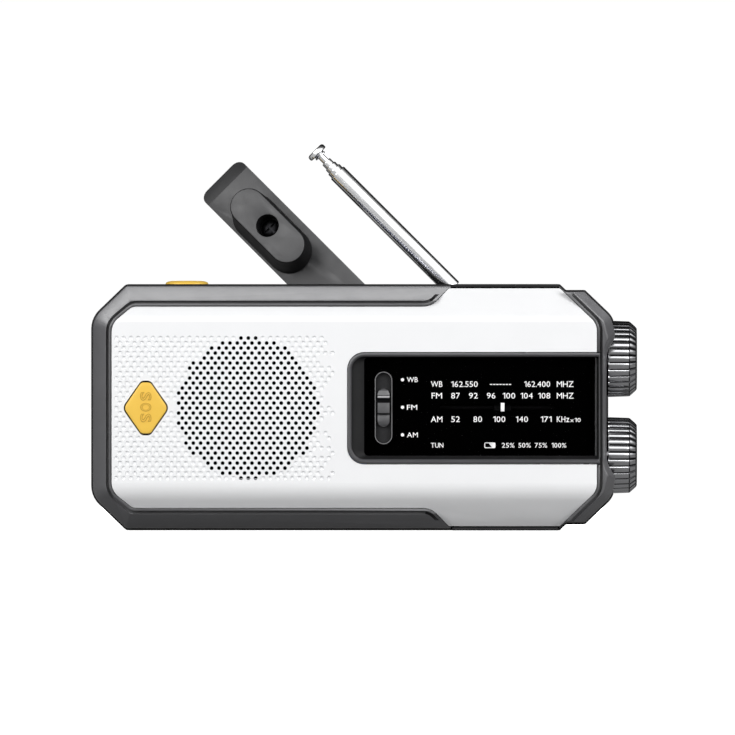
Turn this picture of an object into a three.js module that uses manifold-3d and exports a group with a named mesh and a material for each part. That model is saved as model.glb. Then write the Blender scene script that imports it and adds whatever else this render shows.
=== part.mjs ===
// Hand-crank emergency radio, built as an assembly of separate pieces.
// Millimetres, +Z up, the front faces -Y, +X is to the right.
// The origin is the middle of the case's flat underside.
import * as THREE from 'three';
import { mergeVertices } from 'three/addons/utils/BufferGeometryUtils.js';
import Module from 'manifold-3d';

const wasm = await Module();
wasm.setup();

// ---------------------------------------------------------------- dimensions
const CASE_H = 77.26;                 // overall case height
const MID = CASE_H / 2;               // the case is symmetric about this height
const FRONT_Y = -26.0;                // front face of the white cover
const BACK_Y = 26.0;                  // back face of the rear shell
const SPLIT_Y = -4.0;                 // joint between the front pieces and the shell
const GAP = 0.3;                      // clearance between touching pieces
const SHELL_WALL = 3.2;
const BACK_WALL = 2.8;
const EDGE_BEVEL = 4.4;               // slope on the outer edge, front and back

const SPK_X = -33.17, SPK_Z = 38.32;  // loudspeaker axis
const SOS_X = -65.16, SOS_Z = 38.41, SOS_W = 13.5, SOS_H = 16.6;
const SOS_TRAVEL = 0.9;
const TOPB_X = -52.5, TOPB_Y = 5.0, TOPB_W = 13.4, TOPB_D = 10.0, TOPB_PROUD = 1.1;

const BZ = { x0: -1.89, x1: 77.0, z0: 20.97, z1: 55.72, r: 5.2 };  // dial bezel
const DISP = { x0: 3.2, x1: 76.0, z0: 23.45, z1: 54.2 };           // display opening
const SLOT = { x0: 26.94, x1: 62.72, z0: 37.60, z1: 39.69 };       // pointer slot
const POINTER_X = 46.55, POINTER_Z = 38.65;
const BAND_X = 9.27, BAND_Z = 38.47, BAND_SLOT_Z0 = 27.11, BAND_SLOT_Z1 = 49.74;

const KNOB_R = 12.0, KNOB_X0 = 80.1, KNOB_X1 = 88.79, KNOB_Z_HI = 53.8, KNOB_Z_LO = 23.5;

const HUB_X = 16.45, HUB_Z = 52.06;   // crank axis
const ARM_T = 6.0, ARM_W = 17.4, ARM_TIP = 85.1, ARM_PIN_Y = 30.4;
const ARM_FOLD = 14.5;                // degrees out from the back at rest
const GRIP_U = 60.0, GRIP_H = 12.0;
const GRIP_BASE = [31, 14.6], GRIP_FACE = [28, 10.6];

const ANT_X = 36.61, ANT_Z = 70.5, ANT_Y = 21.9;
const ANT_R = [2.88, 2.45, 2.03, 1.66, 1.1];     // outer radii, outermost first
const ANT_END = [59.3, 60.9, 62.4, 64.3, 66.3];  // where each section ends, collapsed
const ANT_ANGLE = 45;                 // degrees above the horizontal at rest
const ANT_WALL = 0.22;

const GEAR_M = 0.8, GEAR_N = 32, PINION_N = 12;
const GEAR_CD = GEAR_M * (GEAR_N + PINION_N) / 2;
const IDLER_DEG = -60, ROTOR_DEG = -90;

// ---------------------------------------------------------------- helpers
const D2R = Math.PI / 180;
const group = new THREE.Group();

function toMan(geo) {
  let g = geo.clone();
  g.deleteAttribute('normal');
  g.deleteAttribute('uv');
  g = mergeVertices(g, 1e-4);
  const p = g.attributes.position.array;
  const idx = g.index.array;
  const tri = [];
  for (let i = 0; i < idx.length; i += 3) {
    const a = idx[i], b = idx[i + 1], c = idx[i + 2];
    if (a !== b && b !== c && a !== c) tri.push(a, b, c);
  }
  return new wasm.Manifold(new wasm.Mesh({ numProp: 3, vertProperties: new Float32Array(p), triVerts: new Uint32Array(tri) }));
}
function toGeo(man) {
  const m = man.getMesh();
  const g = new THREE.BufferGeometry();
  g.setAttribute('position', new THREE.BufferAttribute(new Float32Array(m.vertProperties), 3));
  g.setIndex(new THREE.BufferAttribute(new Uint32Array(m.triVerts), 1));
  g.computeVertexNormals();
  return g;
}
const cut = (a, ...bs) => bs.reduce((m, b) => m.subtract(b), a);
const join = (a, ...bs) => bs.reduce((m, b) => m.add(b), a);
function mat(color, roughness = 0.5, metalness = 0.0) {
  return new THREE.MeshStandardMaterial({ color, roughness, metalness });
}
function add(name, man, material) {
  const mesh = new THREE.Mesh(man.isBufferGeometry ? man : toGeo(man), material);
  mesh.name = name;
  group.add(mesh);
  return mesh;
}
function box(x0, x1, y0, y1, z0, z1) {
  const g = new THREE.BoxGeometry(x1 - x0, y1 - y0, z1 - z0);
  g.translate((x0 + x1) / 2, (y0 + y1) / 2, (z0 + z1) / 2);
  return toMan(g);
}
// an XZ outline pushed along +Y from y0 to y1
function prism(pts, y0, y1) {
  const s = new THREE.Shape(pts.map(p => new THREE.Vector2(p[0], p[1])));
  const g = new THREE.ExtrudeGeometry(s, { depth: y1 - y0, bevelEnabled: false });
  g.rotateX(Math.PI / 2);             // (x, y, z) -> (x, -z, y)
  g.translate(0, y1, 0);
  return toMan(g);
}
// a cylinder or cone: axis 'x', 'y' or 'z', from a to b
function cyl(axis, cx, cy, a, b, r, seg = 24, r2 = r) {
  const g = new THREE.CylinderGeometry(r2, r, b - a, seg);   // along +Y, r at the low end
  g.translate(0, (a + b) / 2, 0);
  if (axis === 'y') g.translate(cx, 0, cy);                  // cx = X, cy = Z
  if (axis === 'x') { g.rotateZ(-Math.PI / 2); g.translate(0, cx, cy); }   // cx = Y, cy = Z
  if (axis === 'z') { g.rotateX(Math.PI / 2); g.translate(cx, cy, 0); }    // cx = X, cy = Y
  return toMan(g);
}
// a closed lathe profile [r, y] turned about the Y axis
function lathe(pts, seg = 32) {
  return toMan(new THREE.LatheGeometry(pts.map(p => new THREE.Vector2(p[0], p[1])), seg));
}
function offsetPoly(pts, d) {         // d > 0 moves the outline in (anticlockwise outline)
  const n = pts.length, out = [];
  for (let i = 0; i < n; i++) {
    const p0 = pts[(i + n - 1) % n], p1 = pts[i], p2 = pts[(i + 1) % n];
    const e1 = [p1[0] - p0[0], p1[1] - p0[1]], e2 = [p2[0] - p1[0], p2[1] - p1[1]];
    const l1 = Math.hypot(...e1), l2 = Math.hypot(...e2);
    const n1 = [-e1[1] / l1, e1[0] / l1], n2 = [-e2[1] / l2, e2[0] / l2];
    const k = 1 + n1[0] * n2[0] + n1[1] * n2[1];
    out.push([p1[0] + d * (n1[0] + n2[0]) / k, p1[1] + d * (n1[1] + n2[1]) / k]);
  }
  return out;
}
function roundRect(x0, x1, z0, z1, rl, rr = rl, seg = 4) {
  const pts = [];
  const arc = (cx, cz, r, a0) => {
    if (r <= 0) { pts.push([cx, cz]); return; }
    for (let i = 0; i <= seg; i++) {
      const a = (a0 + 90 * i / seg) * D2R;
      pts.push([cx + r * Math.cos(a), cz + r * Math.sin(a)]);
    }
  };
  arc(x1 - rr, z0 + rr, rr, -90);
  arc(x1 - rr, z1 - rr, rr, 0);
  arc(x0 + rl, z1 - rl, rl, 90);
  arc(x0 + rl, z0 + rl, rl, 180);
  return pts;
}
const stadium = (cx, cz, w, h, seg = 6) => {
  const r = Math.min(w, h) / 2;
  return roundRect(cx - w / 2, cx + w / 2, cz - h / 2, cz + h / 2, r, r, seg).filter((p, i, a) => {
    const q = a[(i + 1) % a.length];
    return Math.hypot(p[0] - q[0], p[1] - q[1]) > 1e-3;
  });
};
function gearPts(n, m, phaseDeg) {
  const rp = n * m / 2, ro = rp + 0.75 * m, rf = rp - 1.2 * m, pts = [];
  for (let i = 0; i < n; i++) {
    const c = phaseDeg * D2R + i * 2 * Math.PI / n, pw = Math.PI / n;
    for (const [r, f] of [[rf, -0.62], [ro, -0.22], [ro, 0.22], [rf, 0.62]]) {
      const a = c + f * pw;
      pts.push([r * Math.cos(a), r * Math.sin(a)]);
    }
  }
  return pts;
}
function mirrorZ(pts) { return pts.map(p => [p[0], CASE_H - p[1]]); }

// ---------------------------------------------------------------- outlines
const topHalfO = [                    // right to left over the top, anticlockwise
  [79.81, 55.3], [80.3, 56.4], [81.8, 59.1], [82.5, 61.48], [82.1, 63.4], [81.4, 66.3], [79.81, 68.46],
  [72.52, 75.44], [66.54, 75.44], [64.6, CASE_H],
  [-71.57, CASE_H], [-79.0, 70.1], [-81.2, 67.4], [-82.5, 63.3]];
const OUT = [...topHalfO, ...mirrorZ(topHalfO).reverse()];
const topHalfP = [
  [76.02, 63.08], [75.5, 64.8], [74.21, 66.46], [64.53, 75.88], [29.75, 75.88], [25.59, 71.6], [24.0, 70.5], [21.62, 70.15],
  [-69.35, 70.15], [-74.77, 65.67], [-75.85, 63.3]];
const PANEL = [...topHalfP, ...mirrorZ(topHalfP).reverse()];

// the case as one bevelled block, later shared out between the pieces
function caseBlock() {
  const sb = new THREE.Shape(offsetPoly(OUT, EDGE_BEVEL).map(p => new THREE.Vector2(p[0], p[1])));
  const g = new THREE.ExtrudeGeometry(sb, {
    depth: (BACK_Y - 0.0) - (FRONT_Y + 1.0) - 2 * 3.4, bevelEnabled: true,
    bevelThickness: 3.4, bevelSize: EDGE_BEVEL, bevelSegments: 1,
  });
  g.rotateX(Math.PI / 2);
  g.translate(0, BACK_Y - 3.4, 0);
  return toMan(g);
}
const block = caseBlock();
const bb = block.boundingBox();

// ---------------------------------------------------------------- rear shell
{
  let s = block.intersect(box(-100, 100, SPLIT_Y, 40, -10, 100));
  // keep the underside and the top flat out to the back edge bevel
  s = cut(s, prism(offsetPoly(OUT, SHELL_WALL), SPLIT_Y - 1, BACK_Y - BACK_WALL));
  // thin rims that show above and below the white cover
  s = join(s, box(30.9, 63.9, -20.2, SPLIT_Y + 1, 76.3, CASE_H), box(30.9, 63.9, -20.2, SPLIT_Y + 1, 0, 0.96));
  const inside = box(-100, 100, SPLIT_Y, BACK_Y - 0.2, 1, 76);
  // grip pocket, hub seat, aerial channel: walls first, then the hollows
  const px = HUB_X - GRIP_U;
  s = join(s,
    prism(stadium(px, HUB_Z, 38, 21, 4), 12.4, BACK_Y - 1),
    cyl('y', HUB_X, HUB_Z, 20.2, BACK_Y - 1, 15.5, 24),
    box(-40, 49, 16, BACK_Y - 2, 64.7, 75));
  for (const [x, z] of [[-71, 12.5], [-71, 64.7], [69, 64.7], [69, 12.5]]) s = join(s, cyl('y', x, z, 9, BACK_Y - 1, 3.6, 10));
  // walls of the switch seat and of the panel seat under the top
  s = cut(s,
    prism(stadium(px, HUB_Z, 34, 17, 5), 14.4, BACK_Y + 1),
    cyl('y', HUB_X, HUB_Z, 23.9, BACK_Y + 1, 13.1, 28),
    cyl('y', HUB_X, HUB_Z, 19, BACK_Y, 4.4, 20),
    box(-38, 47.6, 18, BACK_Y + 1, 66.7, CASE_H + 1));
  // aerial pivot boss with its hole
  s = cut(s, cyl('y', ANT_X, ANT_Z, 15, 19, 1.75, 14));
  // screws
  for (const [x, z] of [[-71, 12.5], [-71, 64.7], [69, 64.7], [69, 12.5]]) {
    s = cut(s, cyl('y', x, z, 8, BACK_Y + 1, 1.65, 10), cyl('y', x, z, BACK_Y - 2.2, BACK_Y + 1, 3.1, 14));
  }
  // torch button, solar panel seat, torch hole, knob seats, shaft holes, sockets
  s = cut(s, prismZ(stadiumXY(TOPB_X, TOPB_Y, TOPB_W + 0.7, TOPB_D + 0.7), 70, CASE_H + 1));
  s = cut(s, box(-36, 30, -1.5, 14.5, CASE_H - 1.7, CASE_H + 1));
  s = cut(s, cyl('x', 8, MID, -90, -70, 10.2, 28));
  for (const z of [KNOB_Z_HI, KNOB_Z_LO]) {
    s = cut(s, cyl('x', 0, z, 79.4, 90, KNOB_R + 0.9, 28), cyl('x', 0, z, 70, 85, 2.9, 16));
  }
  s = cut(s, box(42.4, 65.6, 22, 27, 13.2, 24.8), box(41.4, 66.6, BACK_Y - 1.4, 27, 11.7, 25.8));
  add('rear_shell', s, mat('#38383a', 0.55));
}
function stadiumXY(cx, cy, w, d, seg = 5) { return stadium(cx, cy, w, d, seg); }
// an XY outline pushed along +Z
function prismZ(pts, z0, z1) {
  const s = new THREE.Shape(pts.map(p => new THREE.Vector2(p[0], p[1])));
  const g = new THREE.ExtrudeGeometry(s, { depth: z1 - z0, bevelEnabled: false });
  g.translate(0, 0, z0);
  return toMan(g);
}

// ---------------------------------------------------------------- front pieces
const panelGap = prism(offsetPoly(PANEL, -0.35), -40, SPLIT_Y + 5);
const dialRelief = box(60, BZ.x1 + GAP, -40, -20.4, BZ.z0 - 0.4, BZ.z1 + 0.4);
{
  const front = block.intersect(box(-100, 100, -40, SPLIT_Y - GAP, -10, 100));
  const left = cut(front.intersect(box(-100, 30.4, -40, 10, -10, 100)), panelGap);
  add('bumper_left', left, mat('#5d5d5f', 0.5));
  let right = cut(front.intersect(box(64.3, 100, -40, 10, -10, 100)), panelGap, dialRelief);
  for (const z of [KNOB_Z_HI, KNOB_Z_LO]) right = cut(right, cyl('x', 0, z, 79.4, 90, KNOB_R + 0.9, 28));
  add('bumper_right', right, mat('#5d5d5f', 0.5));
}
function sosPts(grow) {
  const w = SOS_W / 2 + grow, h = SOS_H / 2 + grow, fx = 1.3, fz = 1.7;
  return [[w, -fz], [w, fz], [fx, h], [-fx, h], [-w, fz], [-w, -fz], [-fx, -h], [fx, -h]].map(p => [p[0] + SOS_X, p[1] + SOS_Z]);
}
{
  let c = prism(PANEL, FRONT_Y, SPLIT_Y - GAP);
  // slopes along the top and the bottom
  const slope = (z, deg, up) => {
    const g = new THREE.BoxGeometry(220, 30, 60);
    g.translate(0, -15, up ? 30 : -30);
    g.rotateX((up ? -deg : deg) * D2R);
    g.translate(0, FRONT_Y, z);
    return toMan(g);
  };
  c = cut(c, slope(66.6, 28, true), slope(11.6, 32, false));
  c = cut(c, prism(offsetPoly(PANEL, 2.2), FRONT_Y + 2.5, SPLIT_Y + 1).subtract(slope(64.5, 28, true).translate([0, 2.6, 0])).subtract(slope(13.6, 32, false).translate([0, 2.6, 0])));
  c = cut(c, prism(roundRect(BZ.x0 - GAP, 90, BZ.z0 - GAP, BZ.z1 + GAP, BZ.r, 0.01, 4), FRONT_Y - 1, -20.4));
  c = cut(c, prism(sosPts(0.35), FRONT_Y - 1, FRONT_Y + 4));
  // sound holes
  const R = 2.0, P = 6.2;
  for (let j = -3; j <= 3; j++) {
    const n = 7 - Math.abs(j);
    for (let i = 0; i < n; i++) {
      const x = SPK_X + (i - (n - 1) / 2) * P, z = SPK_Z + j * P * Math.sqrt(3) / 2;
      c = cut(c, cyl('y', x, z, FRONT_Y - 1, FRONT_Y + 4, R, 6));
    }
  }
  add('front_cover', c, mat('#f4f5f6', 0.3));
}

// ---------------------------------------------------------------- dial
{
  let b = prism(roundRect(BZ.x0, BZ.x1, BZ.z0, BZ.z1, BZ.r, 0.3, 4), -26.7, -22.4);
  b = cut(b, prism(roundRect(-0.61, 76.2, 21.95, 54.47, 4.0, 0.3, 4), -30, -25.2),
    box(DISP.x0, DISP.x1, -30, -20, DISP.z0, DISP.z1));
  add('dial_bezel', b, mat('#4a4a4c', 0.45));

  let lens = box(DISP.x0 + GAP, DISP.x1 - GAP, -24.2, -23.4, DISP.z0 + GAP, DISP.z1 - GAP);
  lens = cut(lens, prism(stadium(BAND_X, (BAND_SLOT_Z0 + BAND_SLOT_Z1) / 2, 5.4, BAND_SLOT_Z1 - BAND_SLOT_Z0, 5), -30, -20));
  add('dial_lens', lens, mat('#101010', 0.05));

  let sc = box(1.0, 75.5, -21.9, -21.1, 22.3, 55.0);
  sc = cut(sc, box(SLOT.x0, SLOT.x1, -25, -20, SLOT.z0, SLOT.z1),
    box(BAND_X - 1.35, BAND_X + 1.35, -25, -20, BAND_Z - 7.2, BAND_Z + 7.2));
  add('dial_scale', sc, mat('#080808', 0.4));

  let p = join(box(POINTER_X - 0.58, POINTER_X + 0.58, -23.05, -22.25, 37.35, 40.01),
    box(POINTER_X - 0.58, POINTER_X + 0.58, -22.4, -19.4, 38.0, 39.3),
    box(POINTER_X - 2.6, POINTER_X + 2.6, -20.2, -16.2, 36.9, 40.4));
  p = cut(p, cyl('x', -17.9, POINTER_Z, 30, 60, 1.0, 12));
  add('dial_pointer', p, mat('#f2f2f2', 0.5));

  let rail = join(cyl('x', -17.9, POINTER_Z, 24.5, 66.5, 0.7, 10),
    box(23.0, 25.2, -20.7, -16.6, 37, 40.3), box(65.9, 68.0, -20.7, -16.6, 37, 40.3));
  add('pointer_rail', rail, mat('#b9bbbd', 0.3, 0.9));

  let sl = join(prism(stadium(BAND_X, BAND_Z, 3.76, 12.02, 5), -25.4, -22.3),
    box(BAND_X - 0.9, BAND_X + 0.9, -22.6, -17.4, BAND_Z - 2, BAND_Z + 2));
  add('band_slider', sl, mat('#2c2c2e', 0.4));

  let sw = box(BAND_X - 4, BAND_X + 4, -19.6, -14.9, 25, 52);
  sw = cut(sw, box(BAND_X - 1.3, BAND_X + 1.3, -21, -16.6, BAND_Z - 7.3, BAND_Z + 7.3));
  add('band_switch', sw, mat('#9a9ea2', 0.4, 0.6));
}

// ---------------------------------------------------------------- buttons
{
  let b = join(prism(sosPts(0), -26.9, -22.0), prism(sosPts(0.8), -23.1, -21.2));
  add('sos_button', b, mat('#efc34c', 0.4));
  let board = join(box(-72.2, -58.8, -16.2, -15.0, 28.5, 48.5), box(SOS_X - 3, SOS_X + 3, -18.6, -16.0, SOS_Z - 3, SOS_Z + 3),
    cyl('y', SOS_X, SOS_Z, -19.9, -18.4, 1.7, 12));
  add('sos_switch', board, mat('#2f6b3c', 0.6));

  // top button: a domed cap with a retaining flange
  const z0 = CASE_H - SHELL_WALL;
  let t = join(prismZ(stadiumXY(TOPB_X, TOPB_Y, TOPB_W, TOPB_D), z0 - 1.4, CASE_H + 0.5),
    prismZ(offsetPoly(stadiumXY(TOPB_X, TOPB_Y, TOPB_W, TOPB_D), 0.9), CASE_H + 0.3, CASE_H + TOPB_PROUD),
    prismZ(offsetPoly(stadiumXY(TOPB_X, TOPB_Y, TOPB_W, TOPB_D), -1.1), z0 - 1.8, z0 - 0.5));
  add('top_button', t, mat('#e6c26a', 0.4));
  let s = join(box(TOPB_X - 8, TOPB_X + 8, TOPB_Y - 5, TOPB_Y + 5, 65.4, 66.6), box(TOPB_X - 3, TOPB_X + 3, TOPB_Y - 3, TOPB_Y + 3, 66.5, 69.4),
    cyl('z', TOPB_X, TOPB_Y, 69.3, 70.9, 1.7, 12));
  add('top_switch', s, mat('#2f6b3c', 0.6));
}

// ---------------------------------------------------------------- knobs
function knobGeo(z) {
  // grooved drum, axis X, with a chamfered end
  const n = 24, pts = [];
  for (let i = 0; i < n; i++) {
    const a = i * 2 * Math.PI / n, w = Math.PI / n;
    for (const [r, f] of [[KNOB_R - 0.75, -0.95], [KNOB_R, -0.45], [KNOB_R, 0.45]]) {
      pts.push([r * Math.cos(a + f * w), r * Math.sin(a + f * w)]);
    }
  }
  let g = prism(pts, 0, KNOB_X1 - KNOB_X0);
  g = g.intersect(lathe([[0, 0], [KNOB_R + 0.1, 0], [KNOB_R + 0.1, KNOB_X1 - KNOB_X0 - 2.5], [KNOB_R - 2.4, KNOB_X1 - KNOB_X0], [0, KNOB_X1 - KNOB_X0]], 40));
  g = cut(g, cyl('y', 0, 0, -1, 6, 2.6, 12));
  // turn +Y to +X
  return g.rotate([0, 0, -90]).translate([KNOB_X0, 0, z]);
}
add('tuning_knob', knobGeo(KNOB_Z_HI), mat('#7d7f82', 0.22, 0.9));
add('volume_knob', knobGeo(KNOB_Z_LO), mat('#7d7f82', 0.22, 0.9));
add('tuning_shaft', join(cyl('x', 0, KNOB_Z_HI, 56.0, KNOB_X0 + 5.6, 2.3, 12), cyl('x', 0, KNOB_Z_HI, 71.4, 73.6, 8.6, 28)), mat('#c9cbcd', 0.3, 0.9));
add('volume_shaft', cyl('x', 0, KNOB_Z_LO, 60.0, KNOB_X0 + 5.6, 2.3, 12), mat('#c9cbcd', 0.3, 0.9));
add('tuning_capacitor', cut(box(54, 69, -10, 9, 44.5, 63.1), cyl('x', 0, KNOB_Z_HI, 55.5, 75, 2.65, 14)), mat('#d8d8d0', 0.5));
add('volume_pot', cut(join(cyl('x', 0, KNOB_Z_LO, 58.4, 66, 8.5, 20), cyl('x', 0, KNOB_Z_LO, 65, 72, 3.9, 14)), cyl('x', 0, KNOB_Z_LO, 59.4, 75, 2.65, 14)), mat('#8f9296', 0.4, 0.7));

// ---------------------------------------------------------------- loudspeaker
const atSpk = m => m.translate([SPK_X, 0, SPK_Z]);
add('speaker_frame', atSpk(lathe([[20.6, -23.1], [23.2, -23.1], [23.2, -21.9], [22.2, -21.7], [13.4, -9.2], [6.5, -9.2], [6.5, -10.2], [12.9, -10.2], [20.6, -21.2], [20.6, -23.1]], 32)), mat('#6f7275', 0.4, 0.8));
add('speaker_cone', atSpk(lathe([[0, -16.6], [4.4, -16.2], [5.6, -14.8], [18.6, -22.0], [20.2, -22.0], [20.2, -21.5], [18.8, -21.4], [5.9, -13.4], [5.9, -10.6], [0, -10.6], [0, -16.6]], 28)), mat('#232323', 0.9));
add('speaker_magnet', atSpk(lathe([[0, -8.9], [13.8, -8.9], [13.8, -1.6], [0, -1.6], [0, -8.9]], 28)), mat('#4b4d50', 0.4, 0.8));

// ---------------------------------------------------------------- electronics
add('main_pcb', cut(box(4, 70.5, -14.5, -13.0, 12, 65), box(52, 90, -20, 0, 42, 66), box(56, 90, -20, 0, 13, 34)), mat('#1f6a39', 0.5));
add('battery_cell', cyl('x', 9.6, 15.2, -56, 8.4, 9.1, 24), mat('#2b62a6', 0.4));
add('battery_holder', cut(box(-59, 11.4, -1.0, 20.6, 4.6, 17), cyl('x', 9.6, 15.2, -57, 9.4, 9.4, 24)), mat('#26282a', 0.6));
add('ferrite_rod', cyl('x', 2.5, 63.4, -24, 46, 3.8, 12), mat('#2a2a2c', 0.7));
add('aerial_coil', cut(cyl('x', 2.5, 63.4, -4, 18, 5.8, 16), cyl('x', 2.5, 63.4, -5, 19, 4.1, 16)), mat('#b46a34', 0.4));

// ---------------------------------------------------------------- torch, left end
const toX = (m, x, y, z) => m.rotate([0, 0, 90]).translate([x, y, z]);   // lathe +Y becomes -X
add('torch_lens', cyl('x', 8, MID, -82.0, -80.9, 9.85, 28), mat('#e8eef2', 0.05));
add('torch_reflector', toX(lathe([[2.4, -6.5], [3.4, -6.5], [9.8, 1.8], [9.8, 2.4], [9.0, 2.4], [2.4, -5.2], [2.4, -6.5]], 28), -78.2, 8, MID), mat('#d5d8da', 0.12, 1.0));
add('torch_led', join(cyl('x', 8, MID, -75.8, -72.2, 1.9, 14), cyl('x', 8, MID, -71.2, -69.8, 6, 16), cyl('x', 8, MID, -72.6, -71.0, 2.2, 14)), mat('#f3efc8', 0.3));

// ---------------------------------------------------------------- solar panel
add('solar_panel', box(-35.7, 29.7, -1.2, 14.2, CASE_H - 1.4, CASE_H - 0.2), mat('#141c38', 0.15));

// ---------------------------------------------------------------- sockets and flap
add('port_board', cut(box(42.9, 65.1, 12, 24.2, 13.7, 24.3), box(45.2, 54.0, 16, 30, 16.4, 19.8), box(56.4, 63.6, 16, 30, 15.2, 22.9)), mat('#26282a', 0.6));
add('charge_socket', cut(box(45.5, 53.7, 16.3, 24.6, 16.7, 19.5), prism(stadium(49.6, 18.1, 6.9, 1.8, 4), 18, 30)), mat('#c4c7ca', 0.25, 0.95));
add('usb_socket', cut(box(56.7, 63.3, 16.3, 24.6, 15.5, 22.6), box(57.4, 62.6, 18, 30, 16.2, 21.9)), mat('#c4c7ca', 0.25, 0.95));
{
  // the flap's barrel lies on the hinge line along its lower edge
  let f = join(box(42.0, 66.0, 24.95, 26.0, 13.5, 25.2), cyl('x', 25.55, 12.9, 42.0, 66.0, 0.95, 12), box(42.0, 66.0, 24.95, 25.9, 12.9, 14));
  add('port_flap', f, mat('#1f1f20', 0.8));
}

// ---------------------------------------------------------------- case screws
[[-71, 12.5], [-71, 64.7], [69, 64.7], [69, 12.5]].forEach(([x, z], i) => {
  let s = join(cyl('y', x, z, 10, BACK_Y - 1.9, 1.35, 8), cyl('y', x, z, BACK_Y - 1.9, BACK_Y - 0.4, 2.7, 12));
  s = cut(s, box(x - 2, x + 2, BACK_Y - 1.1, BACK_Y, z - 0.35, z + 0.35));
  add('case_screw_' + (i + 1), s, mat('#5c5e60', 0.35, 0.9));
});

// ---------------------------------------------------------------- crank
// the arm is drawn flat: u along +X from the pin, v along +Y (outward), w along +Z
function crankPlace(m, folded) {
  // fold about the pin, then turn the hub so the arm points up and to the left
  const a = folded ? ARM_FOLD : 0;
  return m.rotate([0, 0, a]).rotate([0, -135, 0]).translate([HUB_X, ARM_PIN_Y, HUB_Z]);
}
{
  // hub: disc, ears, shaft (drawn about the pin)
  const py = y => y - ARM_PIN_Y;
  let h = join(cyl('y', 0, 0, py(24.25), py(27.0), 12.6, 32), cyl('y', 0, 0, py(9.2), py(24.6), 4.0, 16));
  for (const s of [-1, 1]) {
    const z0 = s > 0 ? 5.2 : -8.4, z1 = s > 0 ? 8.4 : -5.2;
    h = join(h, box(-4.2, 4.2, py(26.8), 0, z0, z1), cyl('z', 0, 0, z0, z1, 4.2, 20));
  }
  h = cut(h, cyl('z', 0, 0, -10, 10, 1.7, 14));
  add('crank_hub', crankPlace(h, false), mat('#3a3a3c', 0.5));
  add('crank_pin', crankPlace(cyl('z', 0, 0, -8.6, 8.6, 1.4, 12), false), mat('#bfc1c3', 0.3, 0.95));

  const w = ARM_W / 2, r = 3.0;
  const outline = roundRect(9.2, ARM_TIP, -w, w, 1.2, r, 3);
  let a = prismZ(outline, -ARM_T / 2, ARM_T / 2).rotate([90, 0, 0]);      // XY outline to XZ
  // sloped lip at the tip, on the inner face
  const wedge = new THREE.BoxGeometry(12, 6, 40);
  wedge.translate(6, -3, 0); wedge.rotateZ(26 * D2R); wedge.translate(ARM_TIP - 4.9, -ARM_T / 2, 0);
  a = cut(a, toMan(wedge));
  a = join(a, box(0, 12, -ARM_T / 2, ARM_T / 2, -4.8, 4.8), cyl('z', 0, 0, -4.8, 4.8, ARM_T / 2, 18));
  a = cut(a, cyl('z', 0, 0, -6, 6, 1.7, 14), cyl('y', GRIP_U, 0, -8, 1.2, 1.7, 14));
  add('crank_arm', crankPlace(a, true), mat('#4e4e50', 0.5));

  // grip: a tapered block with round ends and a screw well
  const seg = 8, ring = (L, W, v) => stadium(0, 0, L, W, seg).map(p => [p[0], v, p[1]]);
  const lo = ring(GRIP_BASE[0], GRIP_BASE[1], -ARM_T / 2 - 0.3), hi = ring(GRIP_FACE[0], GRIP_FACE[1], -ARM_T / 2 - 0.3 - GRIP_H);
  const n = lo.length, pos = [], idx = [];
  for (const p of [...lo, ...hi]) pos.push(...p);
  for (let i = 0; i < n; i++) { const j = (i + 1) % n; idx.push(i, n + i, j, j, n + i, n + j); }
  for (let i = 1; i < n - 1; i++) { idx.push(0, i, i + 1); idx.push(n, n + i + 1, n + i); }
  let g = new THREE.BufferGeometry();
  g.setAttribute('position', new THREE.Float32BufferAttribute(pos, 3)); g.setIndex(idx);
  let grip;
  try { grip = toMan(g); if (grip.volume() < 0) throw new Error('inside out'); } catch (e) {
    for (let i = 0; i < idx.length; i += 3) { const t = idx[i]; idx[i] = idx[i + 1]; idx[i + 1] = t; }
    g.setIndex(idx); grip = toMan(g);
  }
  const f = -ARM_T / 2 - 0.3 - GRIP_H;
  grip = cut(grip, cyl('y', 0, 0, f - 1, f + 7.0, 3.6, 20), cyl('y', 0, 0, f, 0, 2.0, 14));
  add('crank_grip', crankPlace(grip.translate([GRIP_U, 0, 0]), true), mat('#5d5d5d', 0.5));
  let sc = join(cyl('y', 0, 0, f + 4.6, f + 6.7, 3.0, 16), cyl('y', 0, 0, f + 6.5, 1.0, 1.4, 12));
  sc = cut(sc, box(-2.4, 2.4, f + 4, f + 5.5, -0.4, 0.4), box(-0.4, 0.4, f + 4, f + 5.5, -2.4, 2.4));
  add('grip_screw', crankPlace(sc.translate([GRIP_U, 0, 0]), true), mat('#8c8e90', 0.3, 0.95));
}

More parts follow.
